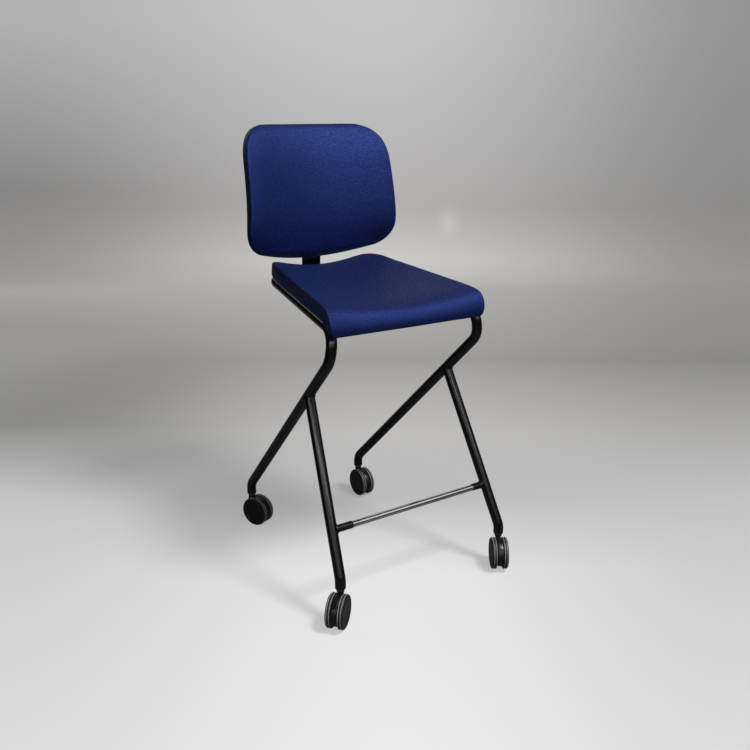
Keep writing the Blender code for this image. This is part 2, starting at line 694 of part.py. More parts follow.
def build_bracket(shell):
    """Bent flat bar: its foot lies under the rear cross tube, and it rises along the backrest's rear."""
    behind = BRACKET_GAP + BRACKET_THICKNESS / 2
    under = -(TUBE_RADIUS + GAP + BRACKET_THICKNESS / 2)
    foot = SEAT_PLANE @ Vector((0.0, BRACKET_FOOT_V, under))
    heel = SEAT_PLANE @ Vector((0.0, REAR_CROSS_Y, under))
    rise = []
    for step in range(BRACKET_STEPS + 1):
        height = BRACKET_RISE * step / BRACKET_STEPS - BACK_HALF_HEIGHT
        rise.append(BACK_PLANE @ (back_point(0.0, BACK_REAR, height) + back_normal(height) * behind))
    corner = geometry.intersect_line_line(foot, heel, rise[0], rise[1])[0]
    path = rounded_path([(foot, 0.0), (corner, BRACKET_BEND_RADIUS), (rise[0], 0.0)]) + rise[1:]
    mesh = strip_mesh("back_bracket", path, BRACKET_WIDTH, BRACKET_CORNER)
    bracket = new_piece("back_bracket", mesh, POWDER_COAT, CHAIR)
    solidify = bracket.modifiers.new("thickness", "SOLIDIFY")
    solidify.thickness = BRACKET_THICKNESS
    solidify.offset = 0.0
    solidify.use_even_offset = True
    stack = BRACKET_GAP + BRACKET_THICKNESS + GAP
    reach = stack + SCREW_BITE
    for label, above in (("low", BACK_SCREW_LOW), ("high", BACK_SCREW_HIGH)):
        height = above - BACK_HALF_HEIGHT
        touch = back_point(0.0, BACK_REAR, height)
        place = along(touch + back_normal(height) * stack, touch)
        cut(bracket, rod_mesh("bracket_hole", SCREW_RADIUS + GAP, -reach, reach), BACK_PLANE @ place)
        cut(shell, rod_mesh("back_bore", SCREW_RADIUS + GAP, 0.0, reach + GAP), place)
        screw_label = "back_screw_" + label
        screw = new_piece(screw_label, screw_mesh(screw_label, reach), ZINC_STEEL, BACK)
        screw.matrix_local = place


# Casters: each is built about its stem, trailing towards +X
WHEEL_CENTRE = Vector((CASTER_TRAIL, 0.0, WHEEL_RADIUS))
ACROSS = Matrix.Translation(WHEEL_CENTRE) @ Matrix.Rotation(-math.pi / 2, 4, "X")
FACET = math.pi / WHEEL_SIDES
TREAD_RADIUS = WHEEL_RADIUS / math.cos(FACET)
SOCKET_RING_LOW = NECK_TOP_Z + GAP


def caster_body_mesh():
    """Round body between the wheels, cut off above the floor, with a neck up to the socket."""
    drum = rod_mesh("caster_drum", BODY_RADIUS, -BODY_HALF_WIDTH, BODY_HALF_WIDTH, WHEEL_SIDES)
    drum.transform(ACROSS)
    body = bpy.data.objects.new("caster_drum", drum)
    PARTS.objects.link(body)
    neck = turned_mesh("caster_neck", [
        (0.0, NECK_TOP_Z),
        (NECK_RADIUS, NECK_TOP_Z),
        (NECK_RADIUS, NECK_LOW_Z),
        (BODY_HALF_WIDTH - GAP, NECK_LOW_Z - GAP),
        (BODY_HALF_WIDTH - GAP, WHEEL_RADIUS),
        (0.0, WHEEL_RADIUS),
    ], TUBE_SIDES)
    cut(body, neck, operation="UNION")
    reach = BODY_RADIUS + CASTER_TRAIL
    cut(body, box_mesh("caster_floor_cut", (-reach, -reach, -reach), (2 * reach, reach, BODY_CUT_Z)))
    cut(body, rod_mesh("stem_bore", STEM_RADIUS + GAP, STEM_LOW_Z - GAP, 2 * NECK_TOP_Z))
    cut(body, rod_mesh("axle_bore", AXLE_RADIUS + GAP, -reach, reach), ACROSS)
    return evaluated_mesh(body, "caster_body")


def wheel_profiles():
    """Hub with a blind axle bore and a recessed outer face, and the grooved tread round it."""
    boss = 3 * AXLE_RADIUS
    inner = WHEEL_INNER_Y
    outer = WHEEL_OUTER_Y
    bore = AXLE_RADIUS + GAP
    hub = [
        (0.0, outer - HUB_RECESS),
        (HUB_FACE_RADIUS, outer - HUB_RECESS),
        (HUB_RIM_RADIUS, outer),
        (HUB_RADIUS - HUB_CHAMFER, outer),
        (HUB_RADIUS, outer - HUB_CHAMFER),
        (HUB_RADIUS, inner + HUB_CHAMFER),
        (boss, inner + HUB_CHAMFER),
        (boss, inner),
        (bore, inner),
        (bore, AXLE_HALF_LENGTH + GAP),
        (0.0, AXLE_HALF_LENGTH + GAP),
    ]
    low = inner + HUB_RECESS
    high = outer - HUB_RECESS
    middle = (low + high) / 2
    seat = HUB_RADIUS / math.cos(FACET) + GAP
    tread = [
        (seat, high),
        (TREAD_RADIUS - TREAD_CHAMFER, high),
        (TREAD_RADIUS, high - TREAD_CHAMFER),
        (TREAD_RADIUS, middle + TREAD_GROOVE),
        (TREAD_RADIUS - TREAD_GROOVE, middle),
        (TREAD_RADIUS, middle - TREAD_GROOVE),
        (TREAD_RADIUS, low + TREAD_CHAMFER),
        (TREAD_RADIUS - TREAD_CHAMFER, low),
        (seat, low),
    ]
    return hub, tread


def socket_profile():
    """Socket pressed into the foot of a tube, with a ring below the tube's end."""
    ring_high = TUBE_END_Z - GAP
    bore = STEM_RADIUS + GAP
    return [
        (bore, TUBE_END_Z + SOCKET_DEPTH),
        (SOCKET_RADIUS, TUBE_END_Z + SOCKET_DEPTH),
        (SOCKET_RADIUS, ring_high),
        (SOCKET_RING_RADIUS, ring_high),
        (SOCKET_RING_RADIUS, SOCKET_RING_LOW),
        (bore, SOCKET_RING_LOW),
    ]


def build_casters():
    """Four casters from shared meshes; each wheel turns on the axle and each body swivels on its stem."""
    body = caster_body_mesh()
    stem = rod_mesh("caster_stem", STEM_RADIUS, STEM_LOW_Z, TUBE_END_Z + SOCKET_DEPTH - GAP)
    axle = rod_mesh("caster_axle", AXLE_RADIUS, -AXLE_HALF_LENGTH, AXLE_HALF_LENGTH)
    axle.transform(ACROSS)
    socket = turned_mesh("caster_socket", socket_profile(), TUBE_SIDES)
    hub_profile, tread_profile = wheel_profiles()
    half_facet = Matrix.Rotation(FACET, 4, "Z")
    hub = turned_mesh("wheel_hub", hub_profile, WHEEL_SIDES)
    hub.transform(half_facet)
    tread = turned_mesh("wheel_tread", tread_profile, WHEEL_SIDES)
    tread.transform(half_facet)
    for corner, heading in CASTER_HEADINGS.items():
        end, name = corner.split("_")
        stem_at = mirrored(FRONT_END if end == "front" else REAR_END, SIDES[name])
        foot = Vector((stem_at.x, stem_at.y, 0.0))
        label = "caster_" + corner
        spin = Matrix.Rotation(math.radians(heading), 4, "Z")
        swivel = new_empty(label + "_swivel", Matrix.Translation(foot) @ spin, CHAIR)
        new_piece(label + "_socket", socket, ZINC_STEEL, swivel)
        new_piece(label + "_stem", stem, ZINC_STEEL, swivel)
        new_piece(label + "_body", body, CASTER_PLASTIC, swivel)
        new_piece(label + "_axle", axle, ZINC_STEEL, swivel)
        for wheel, turn in (("a", 0.0), ("b", math.pi)):
            face = Matrix.Translation(WHEEL_CENTRE) @ Matrix.Rotation(turn - math.pi / 2, 4, "X")
            spindle = new_empty("{}_spindle_{}".format(label, wheel), face, swivel)
            new_piece("{}_wheel_{}".format(label, wheel), hub, CASTER_PLASTIC, spindle)
            new_piece("{}_tread_{}".format(label, wheel), tread, TREAD_RUBBER, spindle)


def build():
    for name, side in SIDES.items():
        build_side_tube(name, side)
        build_front_leg(name, side)
    build_cross_tubes()
    build_footrest()
    build_seat()
    build_back()
    build_casters()


build()
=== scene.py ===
"""Looks for a counter-height chair on casters: upholstered seat and back, black tube frame, bright footrest.

Metres, +Z up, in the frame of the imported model. The front of the chair is -Y.
"""
import math

import bmesh
import bpy
from mathutils import Matrix, Vector, geometry, noise


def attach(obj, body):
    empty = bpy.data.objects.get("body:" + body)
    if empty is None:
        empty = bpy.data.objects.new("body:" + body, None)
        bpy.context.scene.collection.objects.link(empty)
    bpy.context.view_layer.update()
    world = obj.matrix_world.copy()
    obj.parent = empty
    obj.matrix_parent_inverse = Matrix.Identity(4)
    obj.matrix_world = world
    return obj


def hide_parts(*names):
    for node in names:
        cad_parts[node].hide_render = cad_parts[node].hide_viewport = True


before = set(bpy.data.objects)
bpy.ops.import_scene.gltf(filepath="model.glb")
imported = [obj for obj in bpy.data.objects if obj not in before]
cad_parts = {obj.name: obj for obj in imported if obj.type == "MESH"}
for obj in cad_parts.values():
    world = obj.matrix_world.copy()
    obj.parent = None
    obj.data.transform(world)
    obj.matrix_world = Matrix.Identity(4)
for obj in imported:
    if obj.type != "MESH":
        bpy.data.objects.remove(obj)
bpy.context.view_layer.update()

# Sizes, most of them shared with the solids
GAP = 0.0003
CENTRE = Vector((0.0142, 0.0160, 0.0))
TUBE_RADIUS = 0.011
COATED_RADIUS = 0.0117          # tube with its coat
FRONT_HALF_TRACK = 0.2218
REAR_HALF_TRACK = 0.1673
HALF_WHEELBASE = 0.2657
TUBE_END_Z = 0.0813
REAR_BEND_Z = 0.1084
FRONT_BEND_Z = 0.1008
KNEE = Vector((0.1958, -0.1945, 0.5572))
LEG_JOINT_Z = 0.4591
FOOT_BEND_RADIUS = 0.036
KNEE_BEND_RADIUS = 0.050
RAIL_BEND_RADIUS = 0.040
RAIL_PITCH = math.radians(6.73)
RAIL_TAPER = math.radians(8.66)
RAIL_MID_Z = 0.643
RAIL_FRONT_HALF_WIDTH = 0.188
REAR_CROSS_Y = 0.173
CROSS_TUBE_HALF_LENGTH = 0.085
FRONT_CROSS_V = -0.075
FRONT_CROSS_RADIUS = 0.008
FOOTREST_Z = 0.1946
FOOTREST_RADIUS = 0.0072
SLEEVE_RADIUS = 0.0083
SLEEVE_LENGTHS = {"left": 0.0500, "right": 0.0405}
SIDES = {"left": -1.0, "right": 1.0}
TUBE_CHAMFER = 0.0008
SLEEVE_CHAMFER = 0.0007
COPE_GAP = 0.0001
BAR_BITE = 0.012                # depth of the bar in its sleeves
LEG_WELD = 0.0019
SLEEVE_WELD = 0.0022
CROSS_WELD = 0.0011

SHELL_THICKNESS = 0.006
SHELL_INSET = 0.016
SHELL_LOW = TUBE_RADIUS + 0.0005
SHELL_HIGH = SHELL_LOW + SHELL_THICKNESS
PAD_TOP = 0.0470
PAD_LEAN = 0.0020               # the left side stands this much higher, and the right side lower
PAD_LOW = TUBE_RADIUS + 0.0015
PAD_OVERHANG = 0.0150
PAD_FRONT = -0.2135             # front of the pad's round nose, along the seat
PAD_NOSE_FOOT = -0.0185         # underside of the nose
PAD_REAR_Y = 0.1835
PAD_FRONT_CORNER = 0.013
PAD_REAR_CORNER = 0.046
PAD_REAR_DISH = 0.0246
PAD_FRONT_DISH = 0.0160
SHELL_FRONT_CORNER = 0.050
SHELL_LIP_ANGLE = math.radians(62)

BACK_MID_Y = 0.2177
BACK_TOP_Z = 1.0165
BACK_BOTTOM_Z = 0.7010
BACK_LEAN = math.radians(7.5)
BACK_PLAN_RADIUS = 0.349
BACK_CURVE = 0.016
BACK_TOP_HALF_WIDTH = 0.1910
BACK_BOTTOM_HALF_WIDTH = 0.2060
BACK_TOP_CORNER = 0.062
BACK_BOTTOM_CORNER = 0.040
BACK_TOP_FALL = 0.009
BACK_BOTTOM_SAG = 0.031
BACK_THICKNESS = 0.030
BACK_FRONT = 0.0145             # front of the pad's edge from the middle of the solid
BACK_CROWN = 0.0155             # how far the pad stands out from its edge
BACK_UNDERTURN = 0.0165         # how far the lower edge turns back
BACK_DROP = 0.0010              # and hangs down
BACK_SHELL_THICKNESS = 0.006
BACK_SHELL_INSET = 0.014
BACK_SHELL_PROUD = 0.0002       # how far it stands out of the pad's rear
BRACKET_WIDTH = 0.050
BRACKET_THICKNESS = 0.006
BRACKET_GAP = 0.0006
BRACKET_RISE = 0.135
BRACKET_FOOT_V = 0.095
BRACKET_BEND_RADIUS = 0.014
BRACKET_CORNER = 0.010
BRACKET_STEPS = 12

WHEEL_RADIUS = 0.0375
CASTER_TRAIL = 0.0187
CASTER_HEADINGS = {"front_left": 220.5, "front_right": 237.8, "rear_left": 295.2, "rear_right": 269.7}
BODY_RADIUS = 0.0350
BODY_HALF_WIDTH = 0.0065
BODY_CUT_Z = 0.018
NECK_RADIUS = 0.0087
NECK_LOW_Z = 0.0746
NECK_TOP_Z = 0.0789
SOCKET_RING_RADIUS = 0.0089
SOCKET_RADIUS = 0.0076
SOCKET_BORE = 0.0043
SOCKET_RISE = 0.004             # how far the collar reaches into the tube
WHEEL_INNER_Y = 0.0070
WHEEL_OUTER_Y = 0.0193
HUB_RADIUS = 0.0312

# Camera of the photograph
CAMERA_PLACE = Vector((-1.0495, -1.6213, 1.0446)) + CENTRE
CAMERA_YAW = math.radians(34.04)
CAMERA_PITCH = math.radians(17.22)
CAMERA_LENS = 40.884


def linked(name, data):
    """A new object in the scene."""
    item = bpy.data.objects.new(name, data)
    bpy.context.scene.collection.objects.link(item)
    return item


def add_camera():
    data = bpy.data.cameras.new("photo_camera")
    data.sensor_width = 36.0
    data.lens = CAMERA_LENS
    data.clip_start = 0.05
    data.clip_end = 60.0
    camera = linked("photo_camera", data)
    camera.location = CAMERA_PLACE
    camera.rotation_euler = (math.pi / 2 - CAMERA_PITCH, 0.0, -CAMERA_YAW)
    bpy.context.scene.camera = camera


# Material helpers
def new_material(name):
    material = bpy.data.materials.new(name)
    material.use_nodes = True
    return material, material.node_tree, material.node_tree.nodes["Principled BSDF"]


def add_node(tree, kind, **values):
    """A node with its properties set."""
    node = tree.nodes.new(kind)
    for key, value in values.items():
        setattr(node, key, value)
    return node


def tree_of(*values):
    """The node tree of the first socket among numbers, colours and sockets."""
    return next(value.id_data for value in values if isinstance(value, bpy.types.NodeSocket))


def feed(node, name, value):
    """Link one of a node's inputs to a socket, or set it to a number, a vector or a colour."""
    target = node.inputs[name]
    if isinstance(value, bpy.types.NodeSocket):
        node.id_data.links.new(value, target)
    elif target.type == "RGBA":
        target.default_value = (*value, 1.0)
    else:
        target.default_value = value


def math_node(operation, first, second=None):
    """A Math node; each operand is a number or a socket."""
    node = add_node(tree_of(first, second), "ShaderNodeMath", operation=operation)
    feed(node, 0, first)
    if second is not None:
        feed(node, 1, second)
    return node.outputs[0]


def plus(first, second):
    return math_node("ADD", first, second)


def times(first, second):
    return math_node("MULTIPLY", first, second)


def smooth_range(value, low, high, start, end):
    """From start to end while a value goes from low to high, with soft ends."""
    node = add_node(value.id_data, "ShaderNodeMapRange", interpolation_type="SMOOTHSTEP")
    for name, number in zip(("From Min", "From Max", "To Min", "To Max"), (low, high, start, end)):
        feed(node, name, number)
    feed(node, "Value", value)
    return node.outputs["Result"]


def two_tone(shader, factor, stops, colours, roughness):
    """Base colour and roughness that change together between two stops."""
    feed(shader, "Base Color", ramp(factor, list(zip(stops, colours))))
    feed(shader, "Roughness", ramp(factor, list(zip(stops, roughness))))


def object_place(tree):
    return tree.nodes.new("ShaderNodeTexCoord").outputs["Object"]


def uv_axes(tree, name):
    """A UV map's coordinates, together and apart."""
    both = add_node(tree, "ShaderNodeUVMap", uv_map=name).outputs["UV"]
    split = tree.nodes.new("ShaderNodeSeparateXYZ")
    feed(split, "Vector", both)
    return both, split.outputs["X"], split.outputs["Y"]


def ramp(factor, stops):
    """A colour ramp from (position, colour or grey) stops."""
    node = factor.id_data.nodes.new("ShaderNodeValToRGB")
    elements = node.color_ramp.elements
    while len(elements) < len(stops):
        elements.new(0.5)
    for element, (position, colour) in zip(elements, stops):
        if isinstance(colour, (int, float)):
            colour = (colour, colour, colour)
        element.position = position
        element.color = (*colour, 1.0)
    feed(node, "Fac", factor)
    return node.outputs["Color"]


def noise_node(vector, scale, detail=3.0, roughness=0.55):
    node = vector.id_data.nodes.new("ShaderNodeTexNoise")
    feed(node, "Scale", scale)
    feed(node, "Detail", detail)
    feed(node, "Roughness", roughness)
    feed(node, "Vector", vector)
    return node.outputs["Fac"]


def stretched(vector, scale):
    node = vector.id_data.nodes.new("ShaderNodeMapping")
    feed(node, "Scale", scale)
    feed(node, "Vector", vector)
    return node.outputs["Vector"]


def bump(height, strength, distance, shader):
    node = height.id_data.nodes.new("ShaderNodeBump")
    feed(node, "Strength", strength)
    feed(node, "Distance", distance)
    feed(node, "Height", height)
    feed(shader, "Normal", node.outputs["Normal"])


def mix_colour(factor, first, second, blend="MIX"):
    """A Mix node for colours; each is a colour or a socket."""
    tree = tree_of(factor, first, second)
    node = add_node(tree, "ShaderNodeMix", data_type="RGBA", blend_type=blend)
    colours = [index for index, socket in enumerate(node.inputs) if socket.type == "RGBA"]
    for index, value in zip((0, *colours), (factor, first, second)):
        feed(node, index, value)
    return [socket for socket in node.outputs if socket.type == "RGBA"][0]


# Fabric: a plain weave of blue yarns, in metres along the cloth
YARN_PITCH = 0.0012
FABRIC_DEEP = (0.0014, 0.0046, 0.027)
FABRIC_MID = (0.0030, 0.0088, 0.050)
FABRIC_LIGHT = (0.0080, 0.0175, 0.090)
FABRIC_FINISH = {
    "IOR": 1.60,
    "Specular IOR Level": 1.0,
    "Specular Tint": (0.135, 0.218, 0.950),
    "Sheen Weight": 0.035,
    "Sheen Roughness": 0.35,
    "Sheen Tint": (0.25, 0.70, 1.0),
}


def fabric_material():
    material, tree, shader = new_material("blue_weave")
    cloth, width, length = uv_axes(tree, "cloth")
    warp = math_node("DIVIDE", width, YARN_PITCH)
    weft = math_node("DIVIDE", length, YARN_PITCH)
    cells = plus(math_node("FLOOR", warp), math_node("FLOOR", weft))
    over = math_node("PINGPONG", cells, 1.0)
    under = math_node("SUBTRACT", 1.0, over)
    warp_round = math_node("SINE", times(math_node("FRACT", warp), math.pi))
    weft_round = math_node("SINE", times(math_node("FRACT", weft), math.pi))
    height = plus(times(warp_round, over), times(weft_round, under))
    warp_slub = noise_node(stretched(cloth, (900.0, 55.0, 1.0)), 1.0, 2.0)
    weft_slub = noise_node(stretched(cloth, (55.0, 900.0, 1.0)), 1.0, 2.0)
    slub = plus(times(warp_slub, over), times(weft_slub, under))
    blotch = noise_node(cloth, 24.0, 4.0)
    fleck = noise_node(cloth, 420.0, 2.0, 0.7)
    tone = plus(times(slub, 0.55), times(fleck, 0.30))
    tone = plus(tone, times(blotch, 0.15))
    yarn = ramp(tone, [(0.30, FABRIC_DEEP), (0.50, FABRIC_MID), (0.72, FABRIC_LIGHT)])
    # Painted shade: the colour darkens where the yarns dip under each other.
    shade = ramp(height, [(0.0, 0.45), (0.6, 1.0)])
    colour = mix_colour(1.0, yarn, shade, "MULTIPLY")
    streaks = noise_node(stretched(cloth, (95.0, 175.0, 1.0)), 1.0, 2.0, 0.6)
    specks = noise_node(stretched(cloth, (175.0, 245.0, 1.0)), 1.0, 1.0, 0.6)
    melange = times(plus(streaks, specks), 0.5)
    mottle = ramp(melange, [(0.38, 0.35), (0.62, 1.80)])
    feed(shader, "Base Color", mix_colour(1.0, colour, mottle, "MULTIPLY"))
    feed(shader, "Roughness", ramp(melange, [(0.38, 0.62), (0.62, 0.46)]))
    for name, value in FABRIC_FINISH.items():
        feed(shader, name, value)
    relief = plus(height, times(slub, 0.8))
    relief = plus(times(relief, 0.6), times(melange, 4.0))
    bump(relief, 0.5, 0.0004, shader)
    return material


def powder_coat_material():
    """Satin black powder coat with its fine orange peel."""
    material, tree, shader = new_material("black_powder_coat")
    place = object_place(tree)
    peel = noise_node(place, 1400.0, 2.0)
    haze = noise_node(place, 30.0, 4.0)
    colour = ramp(haze, [(0.35, (0.0030, 0.0030, 0.0034)), (0.7, (0.0050, 0.0050, 0.0055))])
    feed(shader, "Base Color", colour)
    feed(shader, "Roughness", ramp(haze, [(0.3, 0.17), (0.75, 0.23)]))
    feed(shader, "Specular IOR Level", 0.5)
    bump(peel, 0.03, 0.0003, shader)
    return material


def bright_bar_material():
    """Plated bar with faint drawn lines along it and a little haze."""
    material, tree, shader = new_material("bright_plate")
    place = object_place(tree)
    drawn = noise_node(stretched(place, (6.0, 1500.0, 1500.0)), 1.0, 3.0)
    haze = noise_node(place, 45.0, 5.0, 0.65)
    feed(shader, "Base Color", ramp(haze, [(0.3, (0.74, 0.73, 0.71)), (0.7, (0.88, 0.87, 0.85))]))
    feed(shader, "Roughness", ramp(times(drawn, haze), [(0.1, 0.09), (0.5, 0.18)]))
    feed(shader, "Metallic", 1.0)
    bump(drawn, 0.10, 0.0002, shader)
    return material


def zinc_material():
    material, tree, shader = new_material("zinc_plate")
    haze = noise_node(object_place(tree), 260.0, 4.0)
    two_tone(shader, haze, (0.3, 0.7), ((0.50, 0.50, 0.51), (0.68, 0.68, 0.70)), (0.38, 0.50))
    feed(shader, "Metallic", 1.0)
    bump(haze, 0.08, 0.0002, shader)
    return material


def plastic_material(name, dark, light, smooth, rough, grain, strength):
    """Moulded plastic with a fine grain and slight changes of gloss."""
    material, tree, shader = new_material(name)
    place = object_place(tree)
    haze = noise_node(place, 70.0, 4.0)
    fine = noise_node(place, grain, 2.0)
    two_tone(shader, haze, (0.3, 0.7), (dark, light), (smooth, rough))
    bump(fine, strength, 0.0002, shader)
    return material


add_camera()
FABRIC = fabric_material()
POWDER = powder_coat_material()
BRIGHT = bright_bar_material()
ZINC = zinc_material()
SHELL = plastic_material("black_shell", (0.012, 0.012, 0.013), (0.020, 0.020, 0.022), 0.48, 0.60, 900.0, 0.25)
NYLON_DARK = (0.004, 0.004, 0.0045)
NYLON_LIGHT = (0.008, 0.008, 0.009)
CASTER = plastic_material("caster_nylon", NYLON_DARK, NYLON_LIGHT, 0.30, 0.40, 700.0, 0.08)
TREAD = plastic_material("dark_tread", (0.008, 0.008, 0.0085), (0.014, 0.014, 0.015), 0.45, 0.60, 900.0, 0.2)
# Light grey of the tread's ribs: partly the rubber's own grey, partly a painted highlight along the tread.
RIB_GREY_AND_PAINTED_HIGHLIGHT = plastic_material("rib_grey_and_painted_highlight", (0.22, 0.22, 0.225), (0.32, 0.32, 0.325), 0.42, 0.60, 900.0, 0.2)


# Mesh helpers
def piece_from(mesh, name, material, body, nodes=(), matrix=None, sharp=40.0):
    """An object in the chair's place, that rides on a body and may stand for CAD nodes."""
    if matrix is not None:
        mesh.transform(matrix)
    mesh.transform(Matrix.Translation(CENTRE))
    mesh.update()
    piece = linked(name, mesh)
    mesh.materials.append(material)
    mesh.shade_smooth()
    mesh.set_sharp_from_angle(angle=math.radians(sharp))
    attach(piece, body)
    if nodes:
        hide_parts(*nodes)
    return piece


def mesh_from(bm, name):
    bmesh.ops.recalc_face_normals(bm, faces=bm.faces)
    mesh = bpy.data.meshes.new(name)
    bm.to_mesh(mesh)
    bm.free()
    return mesh


def frame_piece(bm, name, node, material=POWDER):
    """A rigid piece of the frame in place of its CAD node."""
    return piece_from(mesh_from(bm, name), name, material, "frame", [node])


def mirrored(point, side):
    return Vector((point[0] * side, point[1], point[2]))


def along(start, end):
    """A matrix that carries +Z from start towards end."""
    direction = Vector(end) - Vector(start)
    return Matrix.Translation(start) @ direction.to_track_quat("Z", "Y").to_matrix().to_4x4()


def rounded_path(corners, step=math.radians(4)):
    """Points along straight runs with an arc at each inner corner, from (point, bend radius)."""
    points = [Vector(corners[0][0])]
    for (before, _), (corner, radius), (after, _) in zip(corners, corners[1:], corners[2:]):
        corner = Vector(corner)
        back = (Vector(before) - corner).normalized()
        ahead = (Vector(after) - corner).normalized()
        turn = math.pi - back.angle(ahead)
        centre = corner + (back + ahead).normalized() * radius / math.cos(turn / 2)
        start = corner + back * radius * math.tan(turn / 2)
        axis = back.cross(ahead)
        steps = max(3, math.ceil(turn / step))
        for k in range(steps + 1):
            spin = Matrix.Rotation(-turn * k / steps, 3, axis)
            points.append(centre + spin @ (start - centre))
    points.append(Vector(corners[-1][0]))
    return points


def tangents(points):
    ends = [points[0]] + points[:-1], points[1:] + [points[-1]]
    return [(after - before).normalized() for before, after in zip(*ends)]


def meet_cylinder(point, direction, base, axis, radius):
    """The first place along a line where it meets a cylinder, or None."""
    offset = point - base
    across = direction - axis * direction.dot(axis)
    aside = offset - axis * offset.dot(axis)
    a = across.length_squared
    b = 2 * across.dot(aside)
    c = aside.length_squared - radius ** 2
    inside = b * b - 4 * a * c
    if a < 1e-12 or inside < 0:
        return None
    return point + direction * ((-b - math.sqrt(inside)) / (2 * a))


def bridge(bm, rings):
    """Faces from ring to ring of vertices, and a cap at each end."""
    for first, second in zip(rings, rings[1:]):
        for k, vert in enumerate(first):
            n = (k + 1) % len(first)
            bm.faces.new((vert, first[n], second[n], second[k]))
    bm.faces.new(rings[0])
    bm.faces.new(rings[-1])


def items_of(grown, kind):
    """What an extrusion made, of one kind."""
    return [item for item in grown["geom"] if isinstance(item, kind)]


def realized(data, levels=0):
    """The mesh that a curve or a mesh gives, after subdivision."""
    holder = linked("holder", data)
    if levels:
        modifier = holder.modifiers.new("soft", "SUBSURF")
        modifier.levels = levels
        modifier.render_levels = levels
    bpy.context.view_layer.update()
    result = bpy.data.meshes.new_from_object(holder.evaluated_get(bpy.context.evaluated_depsgraph_get()))
    bpy.data.objects.remove(holder, do_unlink=True)
    return result


def swept(points, radius, sides=40, cope=None, chamfer=0.0):
    """A closed round tube along points, and the ring of its last end where that is coped round a cylinder."""
    bm = bmesh.new()
    directions = tangents(points)
    side = directions[0].orthogonal().normalized()
    stations = []
    for point, direction in zip(points, directions):
        side = (side - direction * side.dot(direction)).normalized()
        stations.append((point, direction, side, radius))
    if chamfer:
        point, direction, side, _ = stations[0]
        stations[0] = (point + direction * chamfer, direction, side, radius)
        stations.insert(0, (point, direction, side, radius - chamfer))
    rings = []
    coped = []
    for index, (point, direction, side, ring_radius) in enumerate(stations):
        other = direction.cross(side)
        ring = []
        for k in range(sides):
            angle = 2 * math.pi * k / sides
            place = point + (side * math.cos(angle) + other * math.sin(angle)) * ring_radius
            if cope and index == len(stations) - 1:
                start = place - direction * 4 * radius
                place = meet_cylinder(start, direction, *cope) or place
                coped.append(place)
            ring.append(bm.verts.new(place))
        rings.append(ring)
    bridge(bm, rings)
    return bm, coped


def lathed(profile, sides=72):
    """A shape turned about Z from (radius, height) points; it closes on the axis or on itself."""
    bm = bmesh.new()
    verts = [bm.verts.new((radius, 0.0, height)) for radius, height in profile]
    edges = [bm.edges.new(pair) for pair in zip(verts, verts[1:])]
    if profile[0][0] > 0.0:
        edges.append(bm.edges.new((verts[-1], verts[0])))
    bmesh.ops.spin(
        bm, geom=verts + edges, cent=(0, 0, 0), axis=(0, 0, 1), angle=2 * math.pi, steps=sides,
        use_merge=True, use_duplicate=False,
    )
    bmesh.ops.remove_doubles(bm, verts=bm.verts, dist=0.000005)
    return bm


def rounded_profile(points, radius, steps=4):
    """A profile with each inner corner rounded off."""
    result = [points[0]]
    for before, corner, after in zip(points, points[1:], points[2:]):
        before, corner, after = Vector(before), Vector(corner), Vector(after)
        reach = min(radius, (before - corner).length * 0.45, (after - corner).length * 0.45)
        start = corner + (before - corner).normalized() * reach
        end = corner + (after - corner).normalized() * reach
        for k in range(steps + 1):
            t = k / steps
            result.append(tuple((1 - t) ** 2 * start + 2 * t * (1 - t) * corner + t * t * end))
    result.append(points[-1])
    return result


# Frame tubes
SEAT_PLANE = Matrix.Translation((0.0, 0.0, RAIL_MID_Z)) @ Matrix.Rotation(RAIL_PITCH, 4, "X")


def rail_half_width(y):
    return RAIL_FRONT_HALF_WIDTH - math.tan(RAIL_TAPER) * (y - KNEE.y)


def rail_point(y):
    return Vector((rail_half_width(y), y, RAIL_MID_Z + math.tan(RAIL_PITCH) * y))


REAR_END = Vector((REAR_HALF_TRACK, HALF_WHEELBASE, TUBE_END_Z))
REAR_BEND = Vector((REAR_HALF_TRACK, HALF_WHEELBASE, REAR_BEND_Z))
RAIL_FRONT = rail_point(KNEE.y)
RAIL_REAR = rail_point(REAR_CROSS_Y)
CROSS_END = Vector((CROSS_TUBE_HALF_LENGTH, RAIL_REAR.y, RAIL_REAR.z))
LEG_TOP = REAR_BEND.lerp(KNEE, (LEG_JOINT_Z - REAR_BEND_Z) / (KNEE.z - REAR_BEND_Z))
FRONT_END = Vector((FRONT_HALF_TRACK, -HALF_WHEELBASE, TUBE_END_Z))
FRONT_BEND = Vector((FRONT_HALF_TRACK, -HALF_WHEELBASE, FRONT_BEND_Z))
FOOTREST = FRONT_BEND.lerp(LEG_TOP, (FOOTREST_Z - FRONT_BEND_Z) / (LEG_JOINT_Z - FRONT_BEND_Z))


def weld(name, ring, size):
    """A rippled weld bead along a closed line."""
    centre = sum(ring, Vector()) / len(ring)
    count = len(ring)
    curve = bpy.data.curves.new(name, "CURVE")
    curve.dimensions = "3D"
    curve.bevel_depth = size
    curve.bevel_resolution = 3
    spline = curve.splines.new("POLY")
    spline.points.add(count - 1)
    spline.use_cyclic_u = True
    for k, (target, point) in enumerate(zip(spline.points, ring)):
        outward = (point - centre).normalized()
        target.co = (*(point + outward * 0.15 * size), 1.0)
        target.radius = 1.0 + 0.10 * math.sin(2 * math.pi * k * 3 / 8) + 0.08 * noise.noise(point * 300.0)
    mesh = realized(curve)
    mesh.materials.clear()
    piece_from(mesh, name, POWDER, "frame", sharp=80.0)


